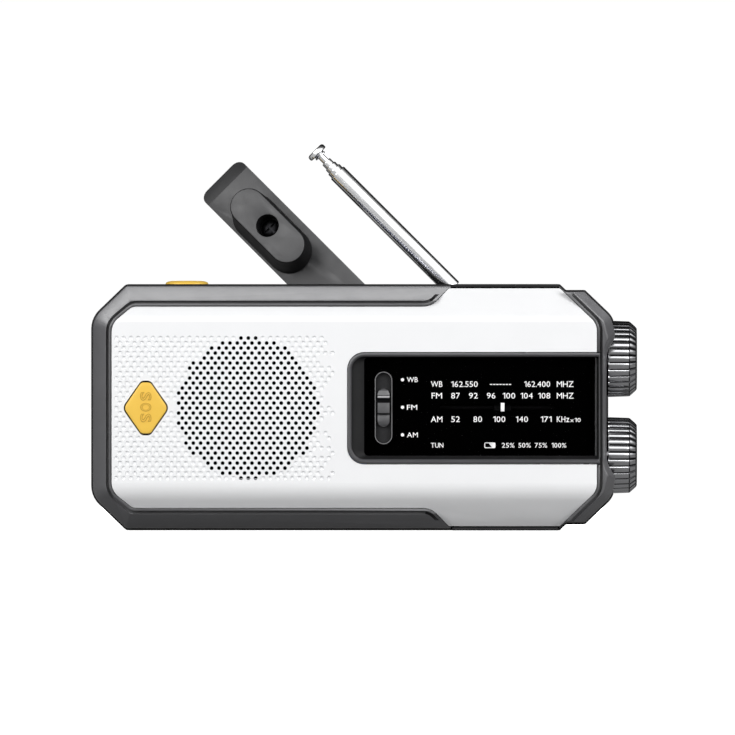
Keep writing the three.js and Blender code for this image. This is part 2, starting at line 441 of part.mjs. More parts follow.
// ---------------------------------------------------------------- generator train
{
  const ix = HUB_X + GEAR_CD * Math.cos(IDLER_DEG * D2R), iz = HUB_Z + GEAR_CD * Math.sin(IDLER_DEG * D2R);
  const rx = ix + GEAR_CD * Math.cos(ROTOR_DEG * D2R), rz = iz + GEAR_CD * Math.sin(ROTOR_DEG * D2R);
  const at = (m, x, z) => m.translate([x, 0, z]);
  const drive = cut(prism(gearPts(GEAR_N, GEAR_M, IDLER_DEG), 9.5, 13.2), cyl('y', 0, 0, 0, 30, 4.3, 16));
  add('drive_gear', at(drive, HUB_X, HUB_Z), mat('#e7e2d2', 0.5));
  // a tooth of the driver faces a gap of the pinion on the line of centres
  const idler = join(prism(gearPts(PINION_N, GEAR_M, IDLER_DEG + 180 + 180 / PINION_N), 9.3, 13.4),
    prism(gearPts(GEAR_N, GEAR_M, ROTOR_DEG), 5.2, 8.6), cyl('y', 0, 0, 8.4, 9.5, 3.2, 12), cyl('y', 0, 0, 4.2, 15.6, 1.2, 10));
  add('idler_gear', at(idler, ix, iz), mat('#e7e2d2', 0.5));
  const rotor = join(prism(gearPts(PINION_N, GEAR_M, ROTOR_DEG + 180 + 180 / PINION_N), 5.0, 8.8), cyl('y', 0, 0, 8.6, 20.8, 1.2, 10),
    cyl('y', 0, 0, 10.6, 18.2, 8.2, 20));
  add('generator_rotor', at(rotor, rx, rz), mat('#6b6e72', 0.4, 0.8));
  const can = cut(cyl('y', 0, 0, 9.3, 21.6, 11.2, 24), cyl('y', 0, 0, 8, 19.6, 9.6, 24), cyl('y', 0, 0, 8, 30, 1.6, 12));
  add('generator_can', at(can, rx, rz), mat('#9fa3a7', 0.3, 0.9));
  let plate = cut(prism(roundRect(ix - 10, ix + 10, iz - 4.4, HUB_Z + 6, 2, 2, 2), 14.2, 15.4).add(prism(roundRect(HUB_X - 8, ix + 10, HUB_Z - 10, HUB_Z + 7, 3, 3, 2), 14.2, 15.4)),
    cyl('y', HUB_X, HUB_Z, 0, 30, 4.5, 16), cyl('y', ix, iz, 0, 30, 1.55, 12));
  add('gear_plate', plate, mat('#b7babd', 0.35, 0.9));
}

// ---------------------------------------------------------------- aerial
{
  // drawn along +X from the pivot, then raised; the pivot axis is Y
  const place = m => m.rotate([0, -(180 - ANT_ANGLE), 0]).translate([ANT_X, ANT_Y, ANT_Z]);
  let k = join(cyl('y', 0, 0, -3.2, 3.2, 3.3, 20), cyl('x', 0, 0, 2.4, 7.4, 2.35, 16));
  k = cut(k, cyl('y', 0, 0, -4, 4, 1.7, 14));
  add('aerial_knuckle', place(k), mat('#c9cbcd', 0.2, 1.0));
  add('aerial_pivot', cut(join(cyl('y', ANT_X, ANT_Z, 15.4, BACK_Y - 0.7, 1.35, 12), cyl('y', ANT_X, ANT_Z, BACK_Y - 0.75, BACK_Y - 0.05, 2.9, 18)), box(ANT_X - 2, ANT_X + 2, BACK_Y - 0.4, BACK_Y + 1, ANT_Z - 0.35, ANT_Z + 0.35)), mat('#c9cbcd', 0.2, 1.0));
  for (let i = 0; i < 4; i++) {
    const x0 = i === 0 ? 7.7 : 8.6 + i * 0.6, x1 = ANT_END[i], ro = ANT_R[i], ri = ro - ANT_WALL;
    const t = cut(cyl('x', 0, 0, x0, x1, ro, 16), cyl('x', 0, 0, x0 + (i === 0 ? 0.6 : -1), x1 + 1, ri, 16));
    add('aerial_tube_' + (i + 1), place(t), mat('#d5d7d9', 0.12, 1.0));
  }
  const tip = join(cyl('x', 0, 0, 11.5, ANT_END[4] + 1.0, ANT_R[4], 12), cyl('x', 0, 0, ANT_END[4] + 0.2, ANT_END[4] + 1.2, 1.9, 16), cyl('x', 0, 0, ANT_END[4] + 1.1, ANT_END[4] + 3.0, 3.2, 20));
  add('aerial_rod', place(tip), mat('#d5d7d9', 0.12, 1.0));
}

export default group;
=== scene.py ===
import math
import random

import bmesh
import bpy
from mathutils import Matrix, Vector
from mathutils.geometry import delaunay_2d_cdt

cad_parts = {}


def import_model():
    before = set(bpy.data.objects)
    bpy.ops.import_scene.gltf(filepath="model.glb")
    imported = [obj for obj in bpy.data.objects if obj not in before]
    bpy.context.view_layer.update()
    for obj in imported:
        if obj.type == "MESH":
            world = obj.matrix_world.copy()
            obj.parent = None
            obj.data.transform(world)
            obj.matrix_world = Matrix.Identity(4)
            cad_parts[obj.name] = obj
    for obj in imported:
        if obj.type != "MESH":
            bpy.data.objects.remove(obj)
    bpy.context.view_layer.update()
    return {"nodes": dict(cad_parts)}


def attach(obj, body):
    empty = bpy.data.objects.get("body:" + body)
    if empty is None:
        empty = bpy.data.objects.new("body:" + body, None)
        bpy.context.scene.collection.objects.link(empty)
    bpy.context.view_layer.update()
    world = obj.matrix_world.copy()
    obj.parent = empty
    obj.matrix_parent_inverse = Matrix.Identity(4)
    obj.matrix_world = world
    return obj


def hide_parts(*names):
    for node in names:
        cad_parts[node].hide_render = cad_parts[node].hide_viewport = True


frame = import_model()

MM = 0.001
D2R = math.pi / 180
random.seed(11)

CASE_H = 77.26
MID = CASE_H / 2
FRONT_Y, BACK_Y, SPLIT_Y = -26.0, 26.0, -4.0
SPK_X, SPK_Z, SPK_R = -33.17, 38.32, 22.3
SOS_X, SOS_Z = -65.16, 38.41
HUB_X, HUB_Z, PIN_Y = 16.45, 52.06, 30.4
FOLD = 14.5
GRIP_U = 60.0
ANT_X, ANT_Y, ANT_Z, ANT_ANGLE = 36.61, 21.9, 70.5, 45.0
BAND_X, BAND_Z = 9.27, 38.47
POINTER_X = 46.55
SCREWS = [(-71, 12.5), (-71, 64.7), (69, 64.7), (69, 12.5)]


# ------------------------------------------------------------------ materials
def new_mat(name):
    m = bpy.data.materials.new(name)
    m.use_nodes = True
    nt = m.node_tree
    b = nt.nodes["Principled BSDF"]
    return m, nt, b


def grain(nt, b, coords, scale, strength, dist, detail=3.0):
    """Fine moulded texture as a bump."""
    n = nt.nodes.new("ShaderNodeTexNoise")
    n.inputs["Scale"].default_value = scale
    n.inputs["Detail"].default_value = detail
    n.inputs["Roughness"].default_value = 0.6
    nt.links.new(coords, n.inputs["Vector"])
    bump = nt.nodes.new("ShaderNodeBump")
    bump.inputs["Strength"].default_value = strength
    bump.inputs["Distance"].default_value = dist
    nt.links.new(n.outputs["Fac"], bump.inputs["Height"])
    nt.links.new(bump.outputs["Normal"], b.inputs["Normal"])
    return n


def vary(nt, coords, scale, lo, hi, detail=4.0):
    """A slow variation between two numbers."""
    n = nt.nodes.new("ShaderNodeTexNoise")
    n.inputs["Scale"].default_value = scale
    n.inputs["Detail"].default_value = detail
    nt.links.new(coords, n.inputs["Vector"])
    r = nt.nodes.new("ShaderNodeMapRange")
    r.inputs["From Min"].default_value = 0.3
    r.inputs["From Max"].default_value = 0.7
    r.inputs["To Min"].default_value = lo
    r.inputs["To Max"].default_value = hi
    nt.links.new(n.outputs["Fac"], r.inputs["Value"])
    return r.outputs["Result"]


def two_tone(nt, coords, scale, a, c, detail=5.0):
    n = nt.nodes.new("ShaderNodeTexNoise")
    n.inputs["Scale"].default_value = scale
    n.inputs["Detail"].default_value = detail
    nt.links.new(coords, n.inputs["Vector"])
    ramp = nt.nodes.new("ShaderNodeValToRGB")
    ramp.color_ramp.elements[0].position = 0.35
    ramp.color_ramp.elements[1].position = 0.65
    ramp.color_ramp.elements[0].color = (*a, 1)
    ramp.color_ramp.elements[1].color = (*c, 1)
    nt.links.new(n.outputs["Fac"], ramp.inputs["Fac"])
    return ramp.outputs["Color"]


def plastic(name, col, rough, grain_scale=2600, grain_strength=0.25, grain_dist=0.00003, spec=0.5, var=0.04, coat=0.0):
    m, nt, b = new_mat(name)
    tc = nt.nodes.new("ShaderNodeTexCoord")
    co = tc.outputs["Object"]
    dark = tuple(c * (1 - var) for c in col)
    light = tuple(min(1, c * (1 + var)) for c in col)
    nt.links.new(two_tone(nt, co, 90, dark, light), b.inputs["Base Color"])
    nt.links.new(vary(nt, co, 240, rough * 0.88, min(1, rough * 1.12)), b.inputs["Roughness"])
    grain(nt, b, co, grain_scale, grain_strength, grain_dist)
    b.inputs["Specular IOR Level"].default_value = spec
    b.inputs["Coat Weight"].default_value = coat
    b.inputs["Coat Roughness"].default_value = 0.08
    return m


def metal(name, col, rough, grain_scale=900, grain_strength=0.06, var=0.03, streak=None):
    m, nt, b = new_mat(name)
    tc = nt.nodes.new("ShaderNodeTexCoord")
    co = tc.outputs["Object"]
    if streak:
        mp = nt.nodes.new("ShaderNodeMapping")
        mp.inputs["Scale"].default_value = streak
        nt.links.new(co, mp.inputs["Vector"])
        co = mp.outputs["Vector"]
    dark = tuple(c * (1 - var) for c in col)
    light = tuple(min(1, c * (1 + var)) for c in col)
    nt.links.new(two_tone(nt, co, 160, dark, light), b.inputs["Base Color"])
    nt.links.new(vary(nt, co, 500, rough * 0.8, min(1, rough * 1.25)), b.inputs["Roughness"])
    grain(nt, b, co, grain_scale, grain_strength, 0.00002)
    b.inputs["Metallic"].default_value = 1.0
    return m


M = {}
M["white"] = plastic("panel_white", (0.86, 0.865, 0.875), 0.34, 3000, 0.05, 0.00001, 0.4, 0.006)
M["grey"] = plastic("case_grey", (0.056, 0.056, 0.059), 0.4, 2600, 0.25, 0.00002, 0.5)
M["dark"] = plastic("case_dark", (0.0065, 0.0065, 0.007), 0.55, 2200, 0.4, 0.00003, 0.16)
M["bezel"] = plastic("bezel_grey", (0.052, 0.052, 0.056), 0.36, 3000, 0.12, 0.00001, 0.5)
# near-black for painted shade on the bezel's inner sloped wall
M["bezel_wall_shade"] = plastic("bezel_wall_shade", (0.0075, 0.0075, 0.008), 0.55, 3000, 0.12, 0.00001, 0.12)
M["black"] = plastic("part_black", (0.012, 0.012, 0.013), 0.45, 2400, 0.3, 0.00002, 0.45)
M["slot"] = plastic("slot_grey", (0.013, 0.013, 0.014), 0.6, 2400, 0.2, 0.00002, 0.15)
M["slider"] = plastic("slider_grey", (0.06, 0.06, 0.063), 0.42, 2600, 0.25, 0.00002, 0.5)
M["arm"] = plastic("arm_grey", (0.028, 0.028, 0.0295), 0.5, 2600, 0.3, 0.00002, 0.45)
# near-black for painted shade on the crank's side walls, bevels and screw well
M["arm_side_shade"] = plastic("arm_side_shade", (0.006, 0.006, 0.0065), 0.55, 2600, 0.2, 0.00002, 0.15)
# darker grey for painted shade on the arm's tip lip
M["arm_lip_shade"] = plastic("arm_lip_shade", (0.019, 0.019, 0.020), 0.5, 2600, 0.3, 0.00002, 0.45)
# light grey for a painted highlight along the slider's ridge
M["ridge"] = plastic("slider_ridge_highlight", (0.42, 0.42, 0.43), 0.3, 2600, 0.1, 0.00001, 0.5)
# near-black metal as painted shade for the screw head down in the grip's well
M["bolt"] = metal("bolt_head_shade", (0.010, 0.010, 0.011), 0.45, 1800, 0.05)
M["yellow"] = plastic("button_yellow", (0.84, 0.53, 0.075), 0.4, 2800, 0.12, 0.00001, 0.4, 0.02)
M["letter"] = plastic("button_letter", (0.50, 0.29, 0.03), 0.45, 2800, 0.12, 0.00001, 0.35, 0.02)
M["scale"] = plastic("scale_black", (0.0004, 0.0004, 0.00045), 0.7, 3000, 0.02, 0.000005, 0.0, 0.02)
M["groove"] = plastic("groove_dark", (0.0055, 0.0055, 0.006), 0.7, 3000, 0.1, 0.00001, 0.02, 0.02)
M["mark"] = plastic("mark_white", (0.86, 0.86, 0.87), 0.5, 3000, 0.05, 0.000005, 0.3, 0.01)
M["rim"] = plastic("rim_grey", (0.17, 0.17, 0.175), 0.35, 3000, 0.1, 0.000005, 0.5)
M["cloth"] = plastic("speaker_cloth", (0.004, 0.004, 0.004), 0.95, 1800, 0.9, 0.0001, 0.1, 0.3)
M["rubber"] = plastic("rubber_black", (0.014, 0.014, 0.014), 0.75, 1800, 0.5, 0.00004, 0.3)
# painted light: the white print and the pointer glow faintly
mark_glow = M["mark"].node_tree.nodes["Principled BSDF"]
mark_glow.inputs["Emission Color"].default_value = (1, 1, 1, 1)
mark_glow.inputs["Emission Strength"].default_value = 0.22
M["steel"] = metal("steel", (0.52, 0.52, 0.54), 0.3, 1400, 0.1)
M["chrome"] = metal("chrome_bright", (0.83, 0.835, 0.84), 0.16, 1200, 0.004)
# dark metal for painted shade and painted dark reflection on the knob flutes
M["knob_groove_shade"] = metal("knob_groove_shade", (0.03, 0.03, 0.032), 0.4, 1600, 0.05)
M["chrome_dark"] = metal("chrome_dark", (0.27, 0.272, 0.28), 0.16, 1600, 0.05, 0.05)
M["reflector"] = metal("reflector", (0.86, 0.86, 0.87), 0.05, 900, 0.01)
M["nylon"] = plastic("gear_nylon", (0.72, 0.69, 0.58), 0.5, 1500, 0.2)
M["pcb"] = plastic("board_green", (0.015, 0.13, 0.04), 0.4, 1200, 0.4, 0.00005, 0.5, 0.2)
M["cell"] = plastic("cell_blue", (0.02, 0.12, 0.36), 0.35, 600, 0.1)
M["ferrite"] = plastic("ferrite", (0.03, 0.03, 0.032), 0.7, 1500, 0.6)
M["copper"] = metal("copper", (0.55, 0.22, 0.08), 0.35, 900, 0.3)
M["cap"] = plastic("cap_white", (0.6, 0.6, 0.55), 0.5)
M["led"] = plastic("led", (0.9, 0.82, 0.42), 0.2, 3000, 0.02, 0.00001, 0.6)
M["cell_si"] = plastic("solar_cell", (0.008, 0.013, 0.05), 0.45, 1600, 0.1, 0.00001, 0.08, 0.3, 0.0)
M["busbar"] = metal("busbar", (0.6, 0.6, 0.62), 0.3)


def clear_pane(name, tint, rough, reflect):
    """A see-through pane: mostly transparent, with a gloss that grows at grazing angles."""
    m, nt, b = new_mat(name)
    tc = nt.nodes.new("ShaderNodeTexCoord")
    b.inputs["Base Color"].default_value = (*tint, 1)
    nt.links.new(vary(nt, tc.outputs["Object"], 120, rough * 0.8, rough * 1.3), b.inputs["Roughness"])
    b.inputs["Specular IOR Level"].default_value = 0.5
    tr = nt.nodes.new("ShaderNodeBsdfTransparent")
    tr.inputs["Color"].default_value = (0.985, 0.985, 0.985, 1)
    lw = nt.nodes.new("ShaderNodeFresnel")
    lw.inputs["IOR"].default_value = reflect
    mix = nt.nodes.new("ShaderNodeMixShader")
    nt.links.new(lw.outputs["Fac"], mix.inputs["Fac"])
    nt.links.new(tr.outputs["BSDF"], mix.inputs[1])
    nt.links.new(b.outputs["BSDF"], mix.inputs[2])
    out = nt.nodes["Material Output"]
    nt.links.new(mix.outputs["Shader"], out.inputs["Surface"])
    return m


M["lens"] = clear_pane("lens_clear", (0.004, 0.004, 0.004), 0.05, 1.08)
M["lamp"] = clear_pane("lamp_clear", (0.5, 0.52, 0.54), 0.05, 1.45)


# ------------------------------------------------------------------ mesh tools
def obj(name, verts, faces, mat=None, smooth=30.0):
    me = bpy.data.meshes.new(name)
    me.from_pydata([(x * MM, y * MM, z * MM) for x, y, z in verts], [], faces)
    bm = bmesh.new()
    bm.from_mesh(me)
    bmesh.ops.recalc_face_normals(bm, faces=bm.faces)
    bm.to_mesh(me)
    bm.free()
    ob = bpy.data.objects.new(name, me)
    bpy.context.scene.collection.objects.link(ob)
    if mat:
        me.materials.append(mat)
    shade(ob, smooth)
    return ob


def shade(ob, angle=30.0):
    me = ob.data
    me.polygons.foreach_set("use_smooth", [True] * len(me.polygons))
    me.set_sharp_from_angle(angle=angle * D2R)
    me.update()


def bake_mods(ob):
    dg = bpy.context.evaluated_depsgraph_get()
    me = bpy.data.meshes.new_from_object(ob.evaluated_get(dg), preserve_all_data_layers=True, depsgraph=dg)
    old = ob.data
    ob.modifiers.clear()
    ob.data = me
    me.name = ob.name
    bpy.data.meshes.remove(old)
    return ob


def boolean(ob, cutter, op="DIFFERENCE", keep=False):
    m = ob.modifiers.new("b", "BOOLEAN")
    m.operation = op
    m.solver = "EXACT"
    m.object = cutter
    bake_mods(ob)
    if not keep:
        me = cutter.data
        bpy.data.objects.remove(cutter)
        bpy.data.meshes.remove(me)
    return ob


def cut(ob, *cs):
    for c in cs:
        boolean(ob, c)
    return ob


def add(ob, *cs):
    for c in cs:
        boolean(ob, c, "UNION")
    return ob


def bevel(ob, w, seg=2, angle=30.0, smooth=30.0):
    m = ob.modifiers.new("v", "BEVEL")
    m.width = w * MM
    m.segments = seg
    m.limit_method = "ANGLE"
    m.angle_limit = angle * D2R
    m.use_clamp_overlap = True
    m.harden_normals = False
    m.miter_outer = "MITER_ARC"
    bake_mods(ob)
    shade(ob, smooth)
    return ob


def stack(name, rings, mat=None, smooth=30.0, cap=True):
    n = len(rings[0])
    verts = [p for r in rings for p in r]
    faces = []
    for k in range(len(rings) - 1):
        a, b = k * n, (k + 1) * n
        for i in range(n):
            j = (i + 1) % n
            faces.append((a + i, a + j, b + j, b + i))
    if cap:
        faces.append(tuple(range(n - 1, -1, -1)))
        faces.append(tuple(range((len(rings) - 1) * n, len(rings) * n)))
    return obj(name, verts, faces, mat, smooth)


def at_y(pts, y):
    return [(p[0], y, p[1]) for p in pts]


def at_z(pts, z):
    return [(p[0], p[1], z) for p in pts]


def at_x(pts, x):
    return [(x, p[0], p[1]) for p in pts]


def prism(name, pts, y0, y1, mat=None):
    return stack(name, [at_y(pts, y0), at_y(pts, y1)], mat)


def prism_z(name, pts, z0, z1, mat=None):
    return stack(name, [at_z(pts, z0), at_z(pts, z1)], mat)


def prism_x(name, pts, x0, x1, mat=None):
    return stack(name, [at_x(pts, x0), at_x(pts, x1)], mat)


def box(name, x0, x1, y0, y1, z0, z1, mat=None):
    return prism(name, [(x0, z0), (x1, z0), (x1, z1), (x0, z1)], y0, y1, mat)


def circle(cx, cy, r, n=48, ph=0.0):
    return [(cx + r * math.cos(2 * math.pi * (i + ph) / n), cy + r * math.sin(2 * math.pi * (i + ph) / n)) for i in range(n)]


def lathe(name, profile, n=48, mat=None, smooth=30.0):
    """A profile of (r, h) turned about +X: h runs along X. It closes on itself, or starts and ends on the axis."""
    verts, faces, rings = [], [], []
    for r, h in profile:
        if r <= 1e-6:
            rings.append([len(verts)])
            verts.append((h, 0, 0))
        else:
            rings.append(list(range(len(verts), len(verts) + n)))
            verts += [(h, r * math.cos(2 * math.pi * i / n), r * math.sin(2 * math.pi * i / n)) for i in range(n)]
    closed = profile[0][0] > 1e-6 and profile[-1][0] > 1e-6
    m = len(rings)
    for k in range(m if closed else m - 1):
        a, b = rings[k], rings[(k + 1) % m]
        for i in range(n):
            j = (i + 1) % n
            if len(a) == 1 and len(b) == 1:
                continue
            if len(a) == 1:
                faces.append((a[0], b[j], b[i]))
            elif len(b) == 1:
                faces.append((a[i], a[j], b[0]))
            else:
                faces.append((a[i], a[j], b[j], b[i]))
    return obj(name, verts, faces, mat, smooth)


def move(ob, mat4):
    """mat4 in millimetres"""
    m = mat4.copy()
    m.translation = m.translation * MM
    ob.data.transform(m)
    ob.data.update()
    return ob


def T(x, y, z):
    return Matrix.Translation((x, y, z))


def R(axis, deg):
    return Matrix.Rotation(deg * D2R, 4, axis)


X_TO_Y = R("Z", 90)        # a lathe along +X turned to +Y
X_TO_Z = R("Y", -90)       # +X to +Z


def cyl_y(name, cx, cz, y0, y1, r, n=40, mat=None):
    return stack(name, [at_y(circle(cx, cz, r, n), y0), at_y(circle(cx, cz, r, n), y1)], mat)


def cyl_x(name, cy, cz, x0, x1, r, n=40, mat=None):
    return stack(name, [at_x(circle(cy, cz, r, n), x0), at_x(circle(cy, cz, r, n), x1)], mat)


def cyl_z(name, cx, cy, z0, z1, r, n=40, mat=None):
    return stack(name, [at_z(circle(cx, cy, r, n), z0), at_z(circle(cx, cy, r, n), z1)], mat)


def offset(pts, d):
    """Moves each edge of an anticlockwise outline in by d (a number, or one per edge)."""
    n = len(pts)
    if not isinstance(d, (list, tuple)):
        d = [d] * n
    out = []
    for i in range(n):
        p0, p1, p2 = pts[i - 1], pts[i], pts[(i + 1) % n]
        a = (p1[0] - p0[0], p1[1] - p0[1])
        b = (p2[0] - p1[0], p2[1] - p1[1])
        la, lb = math.hypot(*a), math.hypot(*b)
        a, b = (a[0] / la, a[1] / la), (b[0] / lb, b[1] / lb)
        na, nb = (-a[1], a[0]), (-b[1], b[0])
        da, db = d[i - 1], d[i]
        den = a[0] * b[1] - a[1] * b[0]
        if abs(den) < 1e-4:
            m = (da + db) / 2
            out.append((p1[0] + m * (na[0] + nb[0]) / 2, p1[1] + m * (na[1] + nb[1]) / 2))
            continue
        qa = (p1[0] + na[0] * da, p1[1] + na[1] * da)
        qb = (p1[0] + nb[0] * db, p1[1] + nb[1] * db)
        t = ((qb[0] - qa[0]) * b[1] - (qb[1] - qa[1]) * b[0]) / den
        out.append((qa[0] + a[0] * t, qa[1] + a[1] * t))
    return out


def fillet(pts, seg=6):
    """pts are (x, z, r), anticlockwise or not; each corner gets an arc of radius r."""
    out = []
    n = len(pts)
    for i in range(n):
        x, z, r = pts[i]
        p0, p2 = pts[i - 1], pts[(i + 1) % n]
        a = Vector((p0[0] - x, p0[1] - z)).normalized()
        b = Vector((p2[0] - x, p2[1] - z)).normalized()
        cosang = max(-1, min(1, a.dot(b)))
        half = math.acos(cosang) / 2
        if r <= 0 or half > math.pi / 2 - 0.01:
            out.append((x, z))
            continue
        t = r / math.tan(half)
        c = Vector((x, z)) + (a + b).normalized() * (r / math.sin(half))
        s, e = Vector((x, z)) + a * t, Vector((x, z)) + b * t
        a0 = math.atan2(s.y - c.y, s.x - c.x)
        a1 = math.atan2(e.y - c.y, e.x - c.x)
        d = (a1 - a0 + math.pi) % (2 * math.pi) - math.pi
        for k in range(seg + 1):
            an = a0 + d * k / seg
            out.append((c.x + r * math.cos(an), c.y + r * math.sin(an)))
    return [p for i, p in enumerate(out) if math.hypot(p[0] - out[i - 1][0], p[1] - out[i - 1][1]) > 2e-3]


def ring_of(corners, d=0.0, seg=5, rmin=0.15):
    """An outline moved in by d, corner by corner, so that every copy has the same points in the same order."""
    n = len(corners)
    dd = list(d) if isinstance(d, (list, tuple)) else [d] * n
    pts = [(x, z) for x, z, r in corners]
    off = offset(pts, dd)
    out = []
    for i in range(n):
        p0, p1, p2 = pts[i - 1], pts[i], pts[(i + 1) % n]
        turn = (p1[0] - p0[0]) * (p2[1] - p1[1]) - (p1[1] - p0[1]) * (p2[0] - p1[0])
        m = (dd[i - 1] + dd[i]) / 2
        out.append((off[i][0], off[i][1], max(rmin, corners[i][2] + (-m if turn > 0 else m))))
    return fillet(out, seg)


def rrect(x0, x1, z0, z1, r, seg=8):
    if not isinstance(r, (list, tuple)):
        r = [r] * 4                  # bottom right, top right, top left, bottom left
    return fillet([(x1, z0, r[0]), (x1, z1, r[1]), (x0, z1, r[2]), (x0, z0, r[3])], seg)


def stadium(cx, cz, w, h, seg=12):
    r = min(w, h) / 2 - 1e-4
    return rrect(cx - w / 2, cx + w / 2, cz - h / 2, cz + h / 2, r, seg)


def done(ob, body, *nodes, slot=None, mat=None):
    if mat and len(ob.data.materials) < 2:
        ob.data.materials.clear()
        ob.data.materials.append(mat)
    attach(ob, body)
    if nodes:
        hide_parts(*nodes)
    return ob


def paint(ob, test, mat):
    """Gives mat to the faces whose centre (mm) and normal pass the test."""
    me = ob.data
    if mat.name not in [m.name for m in me.materials]:
        me.materials.append(mat)
    k = [m.name for m in me.materials].index(mat.name)
    for f in me.polygons:
        c = f.center
        if test(c.x / MM, c.y / MM, c.z / MM, f.normal):
            f.material_index = k
    return ob


def join_objs(name, obs):
    """One object from several, keeping each one's materials."""
    bm = bmesh.new()
    mats = []
    for o in obs:
        base = len(bm.faces)
        idx = []
        for s in o.data.materials:
            if s not in mats:
                mats.append(s)
            idx.append(mats.index(s))
        bm.from_mesh(o.data)
        bm.faces.ensure_lookup_table()
        for f in bm.faces[base:]:
            f.material_index = idx[f.material_index] if idx else 0
    me = bpy.data.meshes.new(name)
    bm.to_mesh(me)
    bm.free()
    for m in mats:
        me.materials.append(m)
    ob = bpy.data.objects.new(name, me)
    bpy.context.scene.collection.objects.link(ob)
    for o in obs:
        d = o.data
        bpy.data.objects.remove(o)
        bpy.data.meshes.remove(d)
    return ob


GLYPHS = {}


def glyph(ch, bold):
    if (ch, bold) in GLYPHS:
        return GLYPHS[(ch, bold)]
    if ch == "1":
        b = bold
        H = 0.70
        p = [(0.17 - b, -b), (0.26 + b, -b), (0.26 + b, H + b), (0.18 - b, H + b), (-0.01, H * 0.83 + b), (-0.01, H * 0.71 - b), (0.17 - b, H * 0.83 - b)]
        n = len(p)
        verts = [(x, z, 0.0) for x, z in p] + [(x, z, 1.0) for x, z in p]
        faces = [tuple(range(n - 1, -1, -1)), tuple(range(n, 2 * n))] + [(i, (i + 1) % n, n + (i + 1) % n, n + i) for i in range(n)]
    else:
        cu = bpy.data.curves.new("g", "FONT")
        cu.body = ch
        cu.size = 1.0
        cu.extrude = 0.02
        cu.offset = bold
        cu.resolution_u = 3
        tmp = bpy.data.objects.new("g", cu)
        bpy.context.scene.collection.objects.link(tmp)
        dg = bpy.context.evaluated_depsgraph_get()
        me = bpy.data.meshes.new_from_object(tmp.evaluated_get(dg))
        bpy.data.objects.remove(tmp)
        bpy.data.curves.remove(cu)
        bm = bmesh.new()
        bm.from_mesh(me)
        bmesh.ops.remove_doubles(bm, verts=bm.verts, dist=1e-4)
        bm.verts.index_update()
        verts = [(v.co.x, v.co.y, (v.co.z / 0.02 + 1) / 2) for v in bm.verts]
        faces = [tuple(v.index for v in f.verts) for f in bm.faces]
        bm.free()
        bpy.data.meshes.remove(me)
    GLYPHS[(ch, bold)] = (verts, faces, min(v[0] for v in verts), max(v[0] for v in verts))
    return GLYPHS[(ch, bold)]


def text(name, s, x0, x1, z0, z1, y, mat, depth=0.06, bold=0.0):
    """Raised lettering that fills the box x0..x1, z0..z1 and faces -Y."""
    V, F, pen = [], [], 0.0
    for i, ch in enumerate(s):
        verts, faces, a, b = glyph(ch, bold)
        base = len(V)
        V += [(v[0] - a + pen, v[1], v[2]) for v in verts]
        F += [tuple(base + k for k in f) for f in faces]
        nxt = s[i + 1] if i + 1 < len(s) else ""
        pen += b - a + (0.07 if "." in (ch, nxt) else 0.10)
    xa, xb = min(v[0] for v in V), max(v[0] for v in V)
    za, zb = min(v[1] for v in V), max(v[1] for v in V)
    out = [(x0 + (v[0] - xa) / (xb - xa) * (x1 - x0), y - v[2] * depth, z0 + (v[1] - za) / (zb - za) * (z1 - z0)) for v in V]
    return obj(name, out, F, mat, 30)


# ------------------------------------------------------------------ outlines
top_o = [(79.81, 55.6, 8.0), (82.78, 60.75, 4.2), (81.2, 67.13, 7.0), (72.52, 75.44, 1.0), (66.54, 75.44, 0.8), (64.6, CASE_H, 0.6),
         (-71.57, CASE_H, 2.2), (-82.5, 66.75, 8.2)]
O_ALL = top_o + [(x, CASE_H - z, r) for x, z, r in reversed(top_o)]
OUT = ring_of(O_ALL)
top_p = [(76.02, 64.7, 5.0), (64.53, 75.88, 0.4), (29.75, 75.88, 0.6), (24.18, 70.15, 6.0), (-69.35, 70.15, 3.2), (-75.85, 64.78, 5.5)]
P_ALL = top_p + [(x, CASE_H - z, r) for x, z, r in reversed(top_p)]
PANEL = ring_of(P_ALL)
# how far the guard's slope reaches in from each edge of the outline, top half then its mirror
half = [2.6, 3.5, 3.45, 1.3, 1.2, 2.2, 4.9]
SLOPE_R = half + [4.9] + half[::-1] + [2.05]
half = [4.9, 4.9, 4.9, 4.9, 4.9, 5.35, 4.9]
SLOPE_L = half + [4.9] + half[::-1] + [4.9]


# ------------------------------------------------------------------ front cover
def slope_cut(name, z_break, deg, up, push=0.0):
    """A wedge that planes off the top or bottom of the front face, with a rounded break."""
    s = 1 if up else -1
    r = 5.0 if up else 9.0
    a = deg * D2R
    t = r * math.tan(a / 2)
    zc = z_break - s * t
    pts = []
    for k in range(9):
        an = a * k / 8
        pts.append((FRONT_Y + push + r - r * math.cos(an), zc + s * r * math.sin(an)))
    y_end, z_end = pts[-1]
    L = 30
    pts.append((y_end + L * math.sin(a), z_end + s * L * math.cos(a)))
    pts.append((-60, z_end + s * L * math.cos(a)))
    pts.append((-60, zc))
    # the first point touches the face exactly, so the wedge starts a hair proud of it
    pts[0] = (FRONT_Y + push - 1e-3, zc)
    return prism_x(name, pts, -120, 120)


def dots():
    rows = []
    for j in range(29):
        z = 60.31 - 1.566 * j
        x0 = -74.39 if j % 2 == 0 else -73.25
        i = 0
        while True:
            x = x0 + 2.295 * i
            if x > -6.2:
                break
            rows.append((x, z))
            i += 1
    through, blind = [], []
    for x, z in rows:
        if math.hypot(x - SPK_X, z - SPK_Z) < SPK_R:
            through.append((x, z))
            continue
        if abs(x - SOS_X) / (6.75 + 1.5) + abs(z - SOS_Z) / (8.3 + 1.9) < 1.12:
            continue
        if x > -12.5:
            # the dimples thin out towards the dial
            keep = {0: 0.92, 1: 0.8, 2: 0.6, 3: 0.35}[min(3, int((x + 12.5) / 1.6))]
            if random.random() > keep:
                continue
        blind.append((x, z))
    return through, blind


